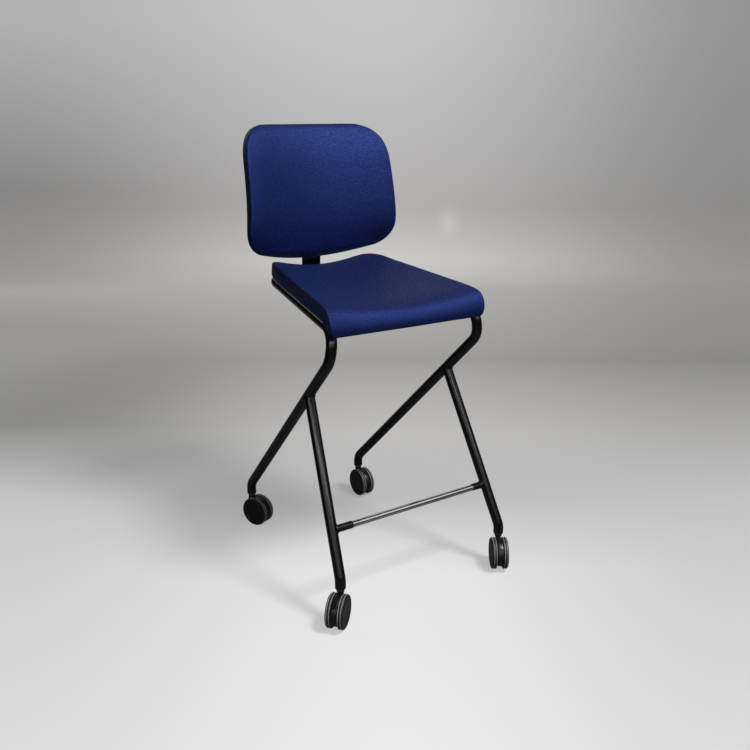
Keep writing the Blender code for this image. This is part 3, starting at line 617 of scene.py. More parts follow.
def build_frame():
    for name, side in SIDES.items():
        corners = [
            (CROSS_END, 0.0),
            (RAIL_REAR, RAIL_BEND_RADIUS),
            (RAIL_FRONT, RAIL_BEND_RADIUS),
            (KNEE, KNEE_BEND_RADIUS),
            (REAR_BEND, FOOT_BEND_RADIUS),
            (REAR_END, 0.0),
        ]
        path = rounded_path([(mirrored(point, side), radius) for point, radius in reversed(corners)])
        bm, _ = swept(path, COATED_RADIUS, chamfer=TUBE_CHAMFER)
        frame_piece(bm, "tube_" + name, "side_tube_" + name)

        top = mirrored(LEG_TOP, side)
        axis = (mirrored(KNEE, side) - mirrored(REAR_BEND, side)).normalized()
        corners = [(FRONT_END, 0.0), (FRONT_BEND, FOOT_BEND_RADIUS), (LEG_TOP, 0.0)]
        path = rounded_path([(mirrored(point, side), radius) for point, radius in corners])
        bm, ring = swept(path, COATED_RADIUS, 48, (top, axis, COATED_RADIUS + COPE_GAP), TUBE_CHAMFER)
        frame_piece(bm, "leg_" + name, "front_leg_" + name)
        weld("leg_weld_" + name, ring, LEG_WELD)

        root = mirrored(FOOTREST, side)
        tip = root - Vector((side * SLEEVE_LENGTHS[name], 0.0, 0.0))
        leg_axis = (top - mirrored(FRONT_BEND, side)).normalized()
        path = [tip, root.lerp(tip, 0.5), root]
        bm, ring = swept(path, SLEEVE_RADIUS, 40, (root, leg_axis, COATED_RADIUS + COPE_GAP), SLEEVE_CHAMFER)
        frame_piece(bm, "sleeve_" + name, "footrest_sleeve_" + name)
        weld("sleeve_weld_" + name, ring, SLEEVE_WELD)
    ends = [mirrored(CROSS_END, -1.0), mirrored(CROSS_END, 1.0)]
    bm, _ = swept(ends, COATED_RADIUS)
    frame_piece(bm, "cross_rear", "rear_cross_tube")
    angles = [2 * math.pi * k / 48 for k in range(48)]
    for name, side in SIDES.items():
        end = mirrored(CROSS_END, side)
        ring = [end + Vector((0.0, math.cos(angle), math.sin(angle))) * COATED_RADIUS for angle in angles]
        weld("cross_weld_" + name, ring, CROSS_WELD)
    left = mirrored(FOOTREST, -1.0) + Vector((SLEEVE_LENGTHS["left"] - BAR_BITE, 0.0, 0.0))
    right = FOOTREST - Vector((SLEEVE_LENGTHS["right"] - BAR_BITE, 0.0, 0.0))
    bm, _ = swept([left.lerp(right, k / 24) for k in range(25)], FOOTREST_RADIUS, 40)
    frame_piece(bm, "bar", "footrest_bar", BRIGHT)
    half = rail_half_width(FRONT_CROSS_V * math.cos(RAIL_PITCH)) - TUBE_RADIUS * 0.9
    ends = [SEAT_PLANE @ Vector((side * half, FRONT_CROSS_V, 0.0)) for side in (-1.0, 1.0)]
    bm, _ = swept(ends, FRONT_CROSS_RADIUS, 32)
    frame_piece(bm, "cross_front", "front_cross_tube")


# Seat and back forms
COS_PITCH = math.cos(RAIL_PITCH)
BEND_TURN = math.pi / 2 - RAIL_PITCH
BEND_START_V = KNEE.y / COS_PITCH + RAIL_BEND_RADIUS * math.tan(BEND_TURN / 2)
SHEET_RADIUS = RAIL_BEND_RADIUS + (SHELL_LOW + PAD_TOP) / 2
SHEET_FRONT = -SHEET_RADIUS * SHELL_LIP_ANGLE
PAD_REAR = PAD_REAR_Y / COS_PITCH
SHEET_REAR = PAD_REAR - BEND_START_V
BACK_MID = (0.0, BACK_MID_Y, (BACK_TOP_Z + BACK_BOTTOM_Z) / 2)
BACK_PLANE = Matrix.Translation(BACK_MID) @ Matrix.Rotation(-BACK_LEAN, 4, "X")
BACK_HALF_HEIGHT = (BACK_TOP_Z - BACK_BOTTOM_Z) / 2 / math.cos(BACK_LEAN)
BACK_REAR = BACK_THICKNESS / 2


def shell_point(x, sheet, height):
    """A place in the seat's shell, from across, along its sheet, and height above the rails' centre lines."""
    if sheet >= 0.0:
        return Vector((x, BEND_START_V + sheet, height))
    angle = -sheet / SHEET_RADIUS
    radius = RAIL_BEND_RADIUS + height
    return Vector((x, BEND_START_V - radius * math.sin(angle), radius * math.cos(angle) - RAIL_BEND_RADIUS))


def corner_inset(distance, radius):
    if distance >= radius:
        return 0.0
    return radius - math.sqrt(max(0.0, radius ** 2 - (radius - distance) ** 2))


def seat_side(along_seat):
    """Half of the seat's width, without its corners."""
    return rail_half_width(along_seat * COS_PITCH) + PAD_OVERHANG


def seat_half_width(along_seat, front, rear, side_inset, corner):
    near = corner_inset(along_seat - front, corner)
    far = corner_inset(rear - along_seat, PAD_REAR_CORNER)
    return seat_side(along_seat) - side_inset - near - far


def smooth_step(low, high, value):
    share = min(1.0, max(0.0, (value - low) / (high - low)))
    return share * share * (3.0 - 2.0 * share)


def pad_top(across, along_seat):
    """Height of the pad's top: dished, most of all towards the rear."""
    deeper = smooth_step(BEND_START_V, PAD_REAR, along_seat)
    dish = PAD_FRONT_DISH + (PAD_REAR_DISH - PAD_FRONT_DISH) * deeper
    return PAD_TOP - PAD_LEAN * across - dish * (1.0 - across ** 2)


def pad_low(along_seat):
    """Height of the pad's underside: flat, then down round the rails' bend to the nose."""
    reach = BEND_START_V - along_seat
    radius = RAIL_BEND_RADIUS + PAD_LOW
    if reach <= 0.0:
        return PAD_LOW
    if reach >= radius:
        return PAD_NOSE_FOOT
    return max(PAD_NOSE_FOOT, math.sqrt(radius ** 2 - reach ** 2) - RAIL_BEND_RADIUS)


def even_places(low, high, count):
    return [low + (high - low) * (k + 1) / (count + 1) for k in range(count)]


CORNER_SHARES = (0.0, 0.12, 0.45, 1.0)
PAD_COLUMNS = (-1.0, -0.965, -0.86, -0.60, -0.30, 0.0, 0.30, 0.60, 0.86, 0.965, 1.0)


def row_places(front, rear, front_corner, rear_corner, middle):
    near = [front + front_corner * share for share in CORNER_SHARES]
    far = [rear - rear_corner * share for share in reversed(CORNER_SHARES)]
    return near + middle + far


def pad_rows(front, rear, corner):
    middle = even_places(front + corner, rear - PAD_REAR_CORNER, 9)
    return row_places(front, rear, corner, PAD_REAR_CORNER, middle)


def seat_shell_rows(front, rear):
    bend = even_places(front + SHELL_FRONT_CORNER, 0.0, 3)
    flat = even_places(0.0, rear - PAD_REAR_CORNER, 5)
    return row_places(front, rear, SHELL_FRONT_CORNER, PAD_REAR_CORNER, bend + [0.0] + flat)


def back_half_width(height, inset):
    share = (height + BACK_HALF_HEIGHT) / (2 * BACK_HALF_HEIGHT)
    side = BACK_BOTTOM_HALF_WIDTH + (BACK_TOP_HALF_WIDTH - BACK_BOTTOM_HALF_WIDTH) * share - inset
    low = corner_inset(height + BACK_HALF_HEIGHT - inset, BACK_BOTTOM_CORNER)
    high = corner_inset(BACK_HALF_HEIGHT - inset - height, BACK_TOP_CORNER)
    return side - low - high


def back_forward(x, height):
    """How far the backrest comes forward of its plane."""
    return x ** 2 / (2 * BACK_PLAN_RADIUS) + BACK_CURVE * (1.0 - (height / BACK_HALF_HEIGHT) ** 2)


def back_point(x, depth, height):
    """A place in the backrest: sides and middle come forward, and both edges bow towards the sides."""
    low = smooth_step(0.0, -BACK_HALF_HEIGHT, height)
    high = smooth_step(0.0, BACK_HALF_HEIGHT, height)
    bow = (x / BACK_BOTTOM_HALF_WIDTH) ** 2
    rise = BACK_BOTTOM_SAG * bow * low - BACK_TOP_FALL * bow * high
    return Vector((x, depth - back_forward(x, height), height + rise))


def back_normal(height):
    """Straight back from the shell, in the middle plane."""
    return Vector((0.0, 1.0, -2 * BACK_CURVE * height / BACK_HALF_HEIGHT ** 2)).normalized()


def back_rows(inset):
    low = -BACK_HALF_HEIGHT + inset
    high = BACK_HALF_HEIGHT - inset
    middle = even_places(low + BACK_BOTTOM_CORNER, high - BACK_TOP_CORNER, 5)
    return row_places(low, high, BACK_BOTTOM_CORNER, BACK_TOP_CORNER, middle)


def layered(columns, rows, layers, place):
    """A closed cage: a grid of columns and rows, extruded through layers, each vertex put in place."""
    bm = bmesh.new()
    bmesh.ops.create_grid(bm, x_segments=columns - 1, y_segments=rows - 1, size=1.0)
    faces = bm.faces[:]
    for layer in range(1, layers):
        grown = bmesh.ops.extrude_face_region(bm, geom=faces)
        if layer > 1:
            bmesh.ops.delete(bm, geom=faces, context="FACES")
        faces = items_of(grown, bmesh.types.BMFace)
        for vert in items_of(grown, bmesh.types.BMVert):
            vert.co.z = layer
    for vert in bm.verts:
        column = round((vert.co.x + 1.0) / 2.0 * (columns - 1))
        row = round((vert.co.y + 1.0) / 2.0 * (rows - 1))
        vert.co = place(column, row, round(vert.co.z))
    return bm


CLOTH_FRAMES = 20
CLOTH_PRESSURE = 4.0
CLOTH_REACH = 0.0015            # no point of a cover swells further than this
CLOTH_HOLD = 0.004              # how near to the shell's side a cover is held


def swollen(mesh, held):
    """The pad with its cover blown out by cloth simulation from where it is held."""
    scene = bpy.context.scene
    cover = linked("cover", mesh.copy())
    pins = cover.vertex_groups.new(name="held")
    pins.add([vert.index for vert in mesh.vertices if held(vert.co)], 1.0, "REPLACE")
    cloth = cover.modifiers.new("cloth", "CLOTH")
    cloth.settings.vertex_group_mass = pins.name
    cloth.settings.use_pressure = True
    cloth.settings.uniform_pressure_force = CLOTH_PRESSURE
    cloth.settings.effector_weights.gravity = 0.0
    cloth.point_cache.frame_start = 1
    cloth.point_cache.frame_end = CLOTH_FRAMES
    for number in range(1, CLOTH_FRAMES + 1):
        scene.frame_set(number)
    blown = cover.evaluated_get(bpy.context.evaluated_depsgraph_get()).data
    for vert, target in zip(mesh.vertices, blown.vertices):
        move = target.co - vert.co
        vert.co += move * CLOTH_REACH / (CLOTH_REACH + move.length)
    bpy.data.objects.remove(cover, do_unlink=True)
    scene.frame_set(1)
    mesh.update()
    return mesh


def cloth_coordinates(mesh, flat):
    """A UV map in metres along the cloth: the front from flat(), the sides by their own planes."""
    layer = mesh.uv_layers.new(name="cloth")
    for polygon in mesh.polygons:
        normal = polygon.normal
        for index in polygon.loop_indices:
            point = mesh.vertices[mesh.loops[index].vertex_index].co
            layer.data[index].uv = flat(point, normal)


def seat_cloth(point, normal):
    """Across the seat and along it, over the top and then down the nose."""
    sheet = point.y
    if sheet < BEND_START_V:
        sheet -= max(0.0, PAD_TOP - point.z)
    if abs(normal.x) > 0.75:
        return (point.z + 0.5, sheet)
    if normal.y > 0.75:
        return (point.x, point.z + 0.5)
    return (point.x, sheet)


def back_cloth(point, normal):
    arc = BACK_PLAN_RADIUS * math.asin(max(-1.0, min(1.0, point.x / BACK_PLAN_RADIUS)))
    if abs(normal.x) > 0.80 and abs(normal.y) < 0.5:
        return (point.y + 0.5, point.z)
    if abs(normal.z) > 0.75:
        return (arc, point.y + 0.5)
    return (arc, point.z)


def add_pad(name, node, cage, held, flat, plane):
    """A fabric pad from its cage, in place of its CAD node."""
    mesh = realized(swollen(realized(cage, 2), held), 1)
    cloth_coordinates(mesh, flat)
    pad = piece_from(mesh, name, FABRIC, "frame", [node], plane, 60.0)


# Layers of the seat pad from its underside: inset of the sides, inset of the front edge, share of the height
PAD_LAYERS = (
    (0.0060, 0.0100, 0.00),
    (0.0015, 0.0042, 0.06),
    (0.0000, 0.0012, 0.17),
    (0.0000, 0.0000, 0.33),
    (0.0000, 0.0020, 0.50),
    (0.0000, 0.0078, 0.66),
    (0.0001, 0.0173, 0.80),
    (0.0004, 0.0300, 0.91),
    (0.0018, 0.0600, 1.00),
)
SHARP_CORNER = 0.004            # plan radius of the nose's upper corners


def build_seat():
    ends = [(PAD_FRONT + front_inset, PAD_REAR - inset) for inset, front_inset, _ in PAD_LAYERS]
    corners = [max(SHARP_CORNER, PAD_FRONT_CORNER * (1.0 - share)) for _, _, share in PAD_LAYERS]
    rows = [pad_rows(*pair, corner) for pair, corner in zip(ends, corners)]

    def place(column, row, layer):
        inset, _, share = PAD_LAYERS[layer]
        along_seat = rows[layer][row]
        x = PAD_COLUMNS[column] * seat_half_width(along_seat, *ends[layer], inset, corners[layer])
        across = x / seat_side(along_seat)
        low = pad_low(along_seat) - PAD_LEAN * across * smooth_step(BEND_START_V, PAD_FRONT, along_seat)
        top = pad_top(across, along_seat)
        return Vector((x, along_seat, low + (top - low) * share))

    def held(point):
        return point.z < pad_low(point.y) + CLOTH_HOLD

    cage = mesh_from(layered(len(PAD_COLUMNS), len(rows[0]), len(PAD_LAYERS), place), "cage")
    add_pad("seat_cushion", "seat_pad", cage, held, seat_cloth, SEAT_PLANE)

    front = SHEET_FRONT + SHELL_INSET
    rear = SHEET_REAR - SHELL_INSET
    places = seat_shell_rows(front, rear)

    def shell_place(column, row, layer):
        reach = BEND_START_V + places[row]
        ends = BEND_START_V + front, BEND_START_V + rear
        width = seat_half_width(reach, *ends, SHELL_INSET, SHELL_FRONT_CORNER)
        return shell_point(PAD_COLUMNS[column] * width, places[row], (SHELL_LOW, SHELL_HIGH)[layer])

    shell = mesh_from(layered(len(PAD_COLUMNS), len(places), 2, shell_place), "shell")
    piece_from(shell, "seat_base", SHELL, "frame", ["seat_shell"], SEAT_PLANE, 30.0)


# Layers of the back pad from its front: inset of the edge, and share of the thickness
BACK_LAYERS = (
    (0.0095, 0.000),
    (0.0048, 0.065),
    (0.0013, 0.210),
    (0.0000, 0.430),
    (0.0000, 0.800),
    (0.0015, 0.950),
    (0.0050, 1.000),
)


def build_back():
    rows = [back_rows(inset) for inset, _ in BACK_LAYERS]

    def place(column, row, layer):
        inset, share = BACK_LAYERS[layer]
        height = rows[layer][row]
        across = PAD_COLUMNS[column]
        depth = -BACK_FRONT + (BACK_FRONT + BACK_REAR) * share
        width = across * back_half_width(height, inset)
        edge = (height / BACK_HALF_HEIGHT) ** 4
        if layer == 0:
            depth -= BACK_CROWN * (1.0 - edge) * (1.0 - across ** 6)
        if height < 0.0:
            depth += BACK_UNDERTURN * edge * (1.0 - share)
            height -= BACK_DROP * edge
        return back_point(width, depth, height)

    def held(point):
        return point.y + back_forward(point.x, point.z) > BACK_REAR - CLOTH_HOLD

    cage = mesh_from(layered(len(PAD_COLUMNS), len(rows[0]), len(BACK_LAYERS), place), "cage")
    add_pad("back_cushion", "back_pad", cage, held, back_cloth, BACK_PLANE)

    front = BACK_REAR - BACK_SHELL_THICKNESS
    heights = back_rows(BACK_SHELL_INSET)

    def shell_place(column, row, layer):
        width = back_half_width(heights[row], BACK_SHELL_INSET)
        depth = (front, BACK_REAR + BACK_SHELL_PROUD)[layer]
        return back_point(PAD_COLUMNS[column] * width, depth, heights[row])

    shell = mesh_from(layered(len(PAD_COLUMNS), len(heights), 2, shell_place), "shell")
    piece_from(shell, "back_panel", SHELL, "frame", ["back_shell"], BACK_PLANE, 30.0)


def build_bracket():
    """Bent flat bar with rounded edges and corners."""
    under = -(TUBE_RADIUS + GAP + BRACKET_THICKNESS / 2)
    foot = SEAT_PLANE @ Vector((0.0, BRACKET_FOOT_V, under))
    heel = SEAT_PLANE @ Vector((0.0, REAR_CROSS_Y, under))
    rise = []
    for k in range(BRACKET_STEPS + 1):
        height = BRACKET_RISE * k / BRACKET_STEPS - BACK_HALF_HEIGHT
        offset = back_normal(height) * (BRACKET_GAP + BRACKET_THICKNESS / 2)
        rise.append(BACK_PLANE @ (back_point(0.0, BACK_REAR, height) + offset))
    corner = geometry.intersect_line_line(foot, heel, rise[0], rise[1])[0]
    path = rounded_path([(foot, 0.0), (corner, BRACKET_BEND_RADIUS), (rise[0], 0.0)]) + rise[1:]
    bm = bmesh.new()
    verts = [bm.verts.new((-BRACKET_WIDTH / 2, point.y, point.z)) for point in path]
    edges = [bm.edges.new(pair) for pair in zip(verts, verts[1:])]
    far = items_of(bmesh.ops.extrude_edge_only(bm, edges=edges), bmesh.types.BMVert)
    bmesh.ops.translate(bm, verts=far, vec=(BRACKET_WIDTH, 0.0, 0.0))
    ends = [vert for vert in bm.verts if len(vert.link_edges) == 2]
    bmesh.ops.bevel(bm, geom=ends, offset=BRACKET_CORNER, segments=8, affect="VERTICES", profile=0.5)
    piece = frame_piece(bm, "back_bar", "back_bracket")
    solidify = piece.modifiers.new("thickness", "SOLIDIFY")
    solidify.thickness = BRACKET_THICKNESS
    solidify.offset = 0.0
    solidify.use_even_offset = True
    bevel = piece.modifiers.new("edges", "BEVEL")
    bevel.width = 0.0008
    bevel.segments = 3
    bevel.limit_method = "ANGLE"
    bevel.angle_limit = math.radians(50)


# Casters
WHEEL_CENTRE = Vector((CASTER_TRAIL, 0.0, WHEEL_RADIUS))
WHEEL_SIDES = 96
# Rings of the fairing below the neck: height, half length, half width
FAIRING = ((0.050, 0.0125, 0.0060), (0.066, 0.0100, 0.0060), (NECK_LOW_Z, 0.0080, 0.0062))


def caster_body():
    """Round body between the wheels with a flat foot, and a fairing up to the neck."""
    bm = bmesh.new()
    outline = []
    cut = math.asin((WHEEL_RADIUS - BODY_CUT_Z) / BODY_RADIUS)
    count = 72
    for k in range(count + 1):
        angle = -cut + (math.pi + 2 * cut) * k / count
        outline.append(WHEEL_CENTRE + Vector((math.cos(angle), 0.0, math.sin(angle))) * BODY_RADIUS)
    verts = [bm.verts.new(point - Vector((0.0, BODY_HALF_WIDTH, 0.0))) for point in outline]
    face = bm.faces.new(verts)
    far = items_of(bmesh.ops.extrude_face_region(bm, geom=[face]), bmesh.types.BMVert)
    bmesh.ops.translate(bm, verts=far, vec=(0.0, 2 * BODY_HALF_WIDTH, 0.0))
    bmesh.ops.recalc_face_normals(bm, faces=bm.faces)
    rims = [edge for edge in bm.edges if abs(edge.verts[0].co.y - edge.verts[1].co.y) < 1e-6]
    bmesh.ops.bevel(bm, geom=rims, offset=0.0011, segments=3, affect="EDGES", profile=0.5)
    fairing = []
    for z, half_x, half_y in FAIRING:
        ring = []
        for k in range(32):
            angle = 2 * math.pi * k / 32
            x = math.copysign(abs(math.cos(angle)) ** 0.6, math.cos(angle)) * half_x
            y = math.copysign(abs(math.sin(angle)) ** 0.6, math.sin(angle)) * half_y
            ring.append(bm.verts.new((x, y, z)))
        fairing.append(ring)
    bridge(bm, fairing)
    low = NECK_LOW_Z - 0.0004
    neck = rounded_profile([
        (0.0, low), (NECK_RADIUS - 0.0005, low), (NECK_RADIUS, NECK_LOW_Z + 0.0006),
        (NECK_RADIUS, NECK_TOP_Z), (0.0, NECK_TOP_Z),
    ], 0.0006)
    bm.from_mesh(mesh_from(lathed(neck, 48), "neck"))
    return bm


def wheel_hub():
    """Hub turned about its axle: a dished outer face inside a rounded rim."""
    inner = WHEEL_INNER_Y
    outer = WHEEL_OUTER_Y
    return rounded_profile([
        (0.0, outer - 0.0014), (0.0120, outer - 0.0012), (0.0245, outer - 0.0007), (0.0252, outer - 0.0013),
        (0.0262, outer - 0.0002), (0.0290, outer), (HUB_RADIUS + 0.0012, outer - 0.0010),
        (HUB_RADIUS + 0.0012, inner + 0.0012), (HUB_RADIUS, inner + 0.0002), (0.0120, inner + 0.0006),
        (0.0090, inner), (0.0, inner),
    ], 0.0006, 3)


def wheel_tread():
    """Dark tread with rounded shoulders."""
    low = WHEEL_INNER_Y + 0.0006
    high = WHEEL_OUTER_Y - 0.0006
    seat = HUB_RADIUS + 0.0006
    base = WHEEL_RADIUS - 0.0012
    return rounded_profile([
        (seat, high), (base - 0.0008, high), (base, high - 0.0014),
        (base, low + 0.0014), (base - 0.0008, low), (seat, low),
    ], 0.0008, 4)


RIB_PLACES = (0.0026, 0.0085)   # from the tread's inner side
RIB_HALF_WIDTH = 0.0010


def wheel_ribs():
    """Two raised rings round the tread; their light grey is partly the rubber's own and partly painted
    highlight.
    """
    bm = bmesh.new()
    base = WHEEL_RADIUS - 0.0020
    for place in RIB_PLACES:
        low = WHEEL_INNER_Y + place - RIB_HALF_WIDTH
        high = low + 2 * RIB_HALF_WIDTH
        profile = rounded_profile([
            (base, high), (WHEEL_RADIUS - 0.0004, high), (WHEEL_RADIUS, high - 0.0006),
            (WHEEL_RADIUS, low + 0.0006), (WHEEL_RADIUS - 0.0004, low), (base, low),
        ], 0.0005, 3)
        bm.from_mesh(mesh_from(lathed(profile, WHEEL_SIDES), "rib"))
    return bm


def build_casters():
    for corner, heading in CASTER_HEADINGS.items():
        end, side = corner.split("_")
        stem = mirrored(FRONT_END if end == "front" else REAR_END, SIDES[side])
        swivel = Matrix.Translation((stem.x, stem.y, 0.0)) @ Matrix.Rotation(math.radians(heading), 4, "Z")
        label = "caster_" + corner
        rider = label + "_swivel"
        body = mesh_from(caster_body(), "body")
        piece_from(body, label + "_housing", CASTER, rider, [label + "_body"], swivel, 35.0)
        top = TUBE_END_Z + SOCKET_RISE
        ring = rounded_profile([
            (SOCKET_BORE, top), (SOCKET_RADIUS, top), (SOCKET_RADIUS, TUBE_END_Z - GAP),
            (SOCKET_RING_RADIUS, TUBE_END_Z - GAP), (SOCKET_RING_RADIUS, NECK_TOP_Z + GAP),
            (SOCKET_BORE, NECK_TOP_Z + GAP),
        ], 0.0004)
        collar = mesh_from(lathed(ring, 48), "ring")
        piece_from(collar, label + "_collar", ZINC, "frame", [label + "_socket"], swivel)
        for wheel, turn in (("a", 0.0), ("b", math.pi)):
            spindle = swivel @ Matrix.Translation(WHEEL_CENTRE) @ Matrix.Rotation(turn - math.pi / 2, 4, "X")
            hub = mesh_from(lathed(wheel_hub(), WHEEL_SIDES), "hub")
            rider = "{}_wheel_{}".format(label, wheel)
            piece_from(hub, rider + "_hub", CASTER, rider, [rider], spindle, 35.0)
            tread = mesh_from(lathed(wheel_tread(), WHEEL_SIDES), "tread")
            node = "{}_tread_{}".format(label, wheel)
            piece_from(tread, node + "_tire", TREAD, rider, [node], spindle, 50.0)
            ribs = mesh_from(wheel_ribs(), "ribs")
            piece_from(ribs, node + "_ribs", RIB_GREY_AND_PAINTED_HIGHLIGHT, rider, matrix=spindle, sharp=50.0)


def dress_nodes():
    """Better finishes on the CAD pieces that stay."""
    for name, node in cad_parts.items():
        if "screw" in name or name.endswith(("_stem", "_axle")):
            material = ZINC
        elif name.startswith("seat_tab"):
            material = POWDER
        else:
            continue
        for index in range(len(node.data.materials)):
            node.material_slots[index].material = material


# Floor and backdrop: a sheet that starts behind the camera, with lengths measured from below the camera
SHEET_START = -6.0
SHEET_WALL = 6.0
SHEET_SWEEP = 0.5               # radius between floor and backdrop
SHEET_TOP = 6.0
SHEET_HALF_WIDTH = 9.0
SHEET_END = 8.0                 # length at which the tones end

# Greys along the sheet, by length: down the middle of the picture and towards its two sides. They paint light
# and shade on the sheet: a painted shadow band behind the chair and a painted bright band at the foot of the
# backdrop.
MIDDLE_TONES = (
    (1.2, 0.88), (1.8, 0.87), (2.2, 0.57), (2.7, 0.61), (3.6, 0.36), (5.1, 0.45), (5.8, 0.60), (6.2, 0.44),
    (7.4, 0.58),
)
LEFT_TONES = ((1.2, 0.80), (2.2, 0.69), (2.8, 0.34), (4.2, 0.31), (5.1, 0.38), (6.3, 0.24), (7.4, 0.44))
RIGHT_TONES = ((1.2, 0.73), (2.2, 0.58), (3.6, 0.26), (5.6, 0.31), (6.2, 0.26), (7.4, 0.30))
SHEET_TINTS = (
    (2.0, (0.99, 0.985, 1.0)), (3.0, (1.0, 0.985, 0.96)),
    (5.8, (1.0, 0.98, 0.96)), (7.4, (0.99, 0.975, 0.99)),
)
SHADE_SPOT = ((-0.98, 3.25), (0.40, 0.60), 0.17)        # place, reach and strength
GLARE_SPOT = ((0.51, 6.085), (0.060, 0.085), 0.14)
VIEW_SPREAD = (0.42, 0.136)     # half width of the picture on the sheet: growth along it, and start
VIEW_REACH = (0.30, 2.62)       # its least and greatest
FLOOR_FADE = (2.5, 4.0)         # lengths between which the lit floor goes over to a glow
NEAR_GLOW = 0.55                # share of glow in the near floor
NEAR_GLOSS = 0.14               # share of the tones that reflections show, near and far
FAR_GLOSS = 0.70
ASIDE_GLOSS = 0.05              # share of that beside the picture
BOUNCE = (0.05, 0.05, 0.05)     # what the sheet throws back on the chair
WORLD_LIGHT = 0.03              # strength of the light from all round
WORLD_TONE = 0.42               # strength at which the camera sees it past the sheet
WORLD_GLOSS = 0.07              # share of that tone that reflections show


def add_stage():
    """A pale sheet that runs from the floor up into a backdrop, shaded along its length."""
    profile = [(SHEET_START, 0.0), (0.0, 0.0), (SHEET_WALL - SHEET_SWEEP, 0.0)]
    for k in range(1, 13):
        angle = math.pi / 2 * k / 12
        forward = SHEET_WALL - SHEET_SWEEP + SHEET_SWEEP * math.sin(angle)
        profile.append((forward, SHEET_SWEEP - SHEET_SWEEP * math.cos(angle)))
    profile.append((SHEET_WALL, SHEET_TOP))
    bm = bmesh.new()
    uv = bm.loops.layers.uv.new("sheet")
    lengths = [SHEET_START]
    for first, second in zip(profile, profile[1:]):
        lengths.append(lengths[-1] + math.dist(first, second))
    half = SHEET_HALF_WIDTH
    rows = [[bm.verts.new((x, forward, up)) for x in (-half, half)] for forward, up in profile]
    for k, (first, second) in enumerate(zip(rows, rows[1:])):
        face = bm.faces.new((first[0], first[1], second[1], second[0]))
        for loop, place in zip(face.loops, ((-half, k), (half, k), (half, k + 1), (-half, k + 1))):
            loop[uv].uv = (place[0], lengths[place[1]])
    mesh = bpy.data.meshes.new("sheet")
    bm.to_mesh(mesh)
    bm.free()
    below = (CAMERA_PLACE.x, CAMERA_PLACE.y, 0.0)
    mesh.transform(Matrix.Translation(below) @ Matrix.Rotation(-CAMERA_YAW, 4, "Z"))
    mesh.shade_smooth()
    stage = linked("studio_sheet", mesh)
    mesh.materials.append(stage_material())


def soft_spot(axes, place, reach, strength):
    """A strength at a place on the sheet, falling softly to nothing over its reach."""
    squares = []
    for socket, middle, width in zip(axes, place, reach):
        offset = math_node("DIVIDE", math_node("SUBTRACT", socket, middle), width)
        squares.append(times(offset, offset))
    return times(math_node("EXPONENT", times(plus(*squares), -1.0)), strength)


def seen_share(tree, gloss):
    """How much of its own tone a backdrop shows: all of it to the camera, and a share to reflections."""
    rays = tree.nodes.new("ShaderNodeLightPath").outputs
    direct = math_node("MAXIMUM", rays["Is Camera Ray"], rays["Is Transmission Ray"])
    return math_node("MAXIMUM", direct, times(rays["Is Glossy Ray"], gloss))


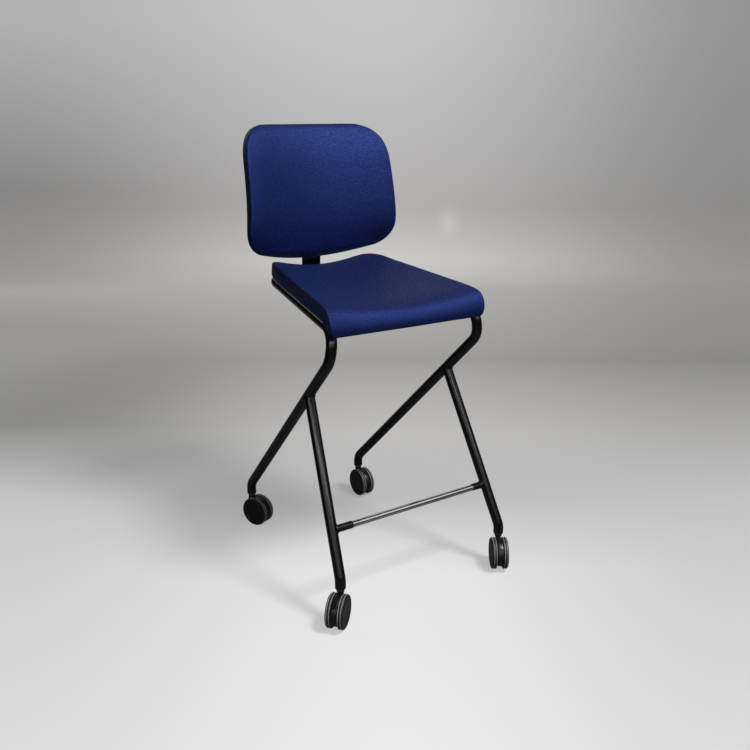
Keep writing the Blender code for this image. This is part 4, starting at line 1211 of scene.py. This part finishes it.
def stage_material():
    """The sheet's tones: in part lit near the chair, where it keeps the shadow, and a glow further off."""
    material, tree, shader = new_material("studio_sheet")
    tree.nodes.remove(shader)
    _, across, length = uv_axes(tree, "sheet")
    share = math_node("DIVIDE", length, SHEET_END)
    middle, left, right, tint = [
        ramp(share, [(place / SHEET_END, colour) for place, colour in stops])
        for stops in (MIDDLE_TONES, LEFT_TONES, RIGHT_TONES, SHEET_TINTS)
    ]
    growth, start = VIEW_SPREAD
    least, greatest = VIEW_REACH
    reach = math_node("MINIMUM", plus(times(length, growth), start), greatest)
    aside = math_node("DIVIDE", across, math_node("MAXIMUM", reach, least))
    off_middle = math_node("ABSOLUTE", aside)
    side = mix_colour(math_node("GREATER_THAN", aside, 0.0), left, right)
    tone = mix_colour(smooth_range(off_middle, 0.0, 1.0, 0.0, 1.0), middle, side)
    tone = mix_colour(1.0, tone, tint, "MULTIPLY")
    tone = mix_colour(soft_spot((across, length), *SHADE_SPOT), tone, (0.0, 0.0, 0.0))
    tone = mix_colour(soft_spot((across, length), *GLARE_SPOT), tone, (1.0, 1.0, 1.0))
    gloss = times(
        smooth_range(off_middle, 0.9, 1.5, 1.0, ASIDE_GLOSS),
        smooth_range(length, *FLOOR_FADE, NEAR_GLOSS, FAR_GLOSS),
    )
    seen = seen_share(tree, gloss)
    lit = tree.nodes.new("ShaderNodeBsdfDiffuse")
    feed(lit, "Color", mix_colour(seen, BOUNCE, tone))
    glow = tree.nodes.new("ShaderNodeEmission")
    feed(glow, "Color", tone)
    feed(glow, "Strength", seen)
    mix = tree.nodes.new("ShaderNodeMixShader")
    feed(mix, "Fac", smooth_range(length, *FLOOR_FADE, NEAR_GLOW, 1.0))
    feed(mix, 1, lit.outputs["BSDF"])
    feed(mix, 2, glow.outputs["Emission"])
    feed(tree.nodes["Material Output"], "Surface", mix.outputs["Shader"])
    return material


def add_light(name, place, target, size, power, height=None):
    """A round light, or a box light where it has a height."""
    data = bpy.data.lights.new(name, "AREA")
    data.shape = "RECTANGLE" if height else "DISK"
    data.size = size
    if height:
        data.size_y = height
    data.energy = power
    light = linked(name, data)
    aim = along(Vector(place) + CENTRE, Vector(target) + CENTRE)
    light.matrix_world = aim @ Matrix.Rotation(math.pi, 4, "X")


def add_lights():
    """Studio lights round the chair, as place, target, width, power and height."""
    add_light("key", (1.05, -2.57, 4.64), (0.0, 0.0, 0.6), 1.3, 206.0)
    add_light("front_box", (-1.15, -2.35, 1.53), (0.0, 0.0, 0.45), 6.4, 25.0, 0.20)
    add_light("low_box", (-1.46, -2.16, 0.92), (0.0, 0.0, 0.45), 5.0, 6.0, 0.47)
    add_light("side_box", (1.62, -1.93, 1.93), (0.0, -0.2, 0.3), 1.4, 4.8, 1.8)
    add_light("rear_box", (-0.80, 2.56, 2.47), (0.0, 0.0, 0.65), 1.2, 6.0)


def add_world():
    """Dim light from all round, with a pale grey seen past the edges of the sheet."""
    world = bpy.data.worlds.new("studio_world")
    bpy.context.scene.world = world
    world.use_nodes = True
    tree = world.node_tree
    background = tree.nodes["Background"]
    feed(background, "Color", (0.95, 0.97, 1.0))
    tone = times(seen_share(tree, WORLD_GLOSS), WORLD_TONE)
    feed(background, "Strength", math_node("MAXIMUM", tone, WORLD_LIGHT))


build_frame()
build_seat()
build_back()
build_bracket()
build_casters()
dress_nodes()
add_stage()
add_lights()
add_world()
bpy.context.scene.view_settings.view_transform = "Standard"
bpy.context.view_layer.update()
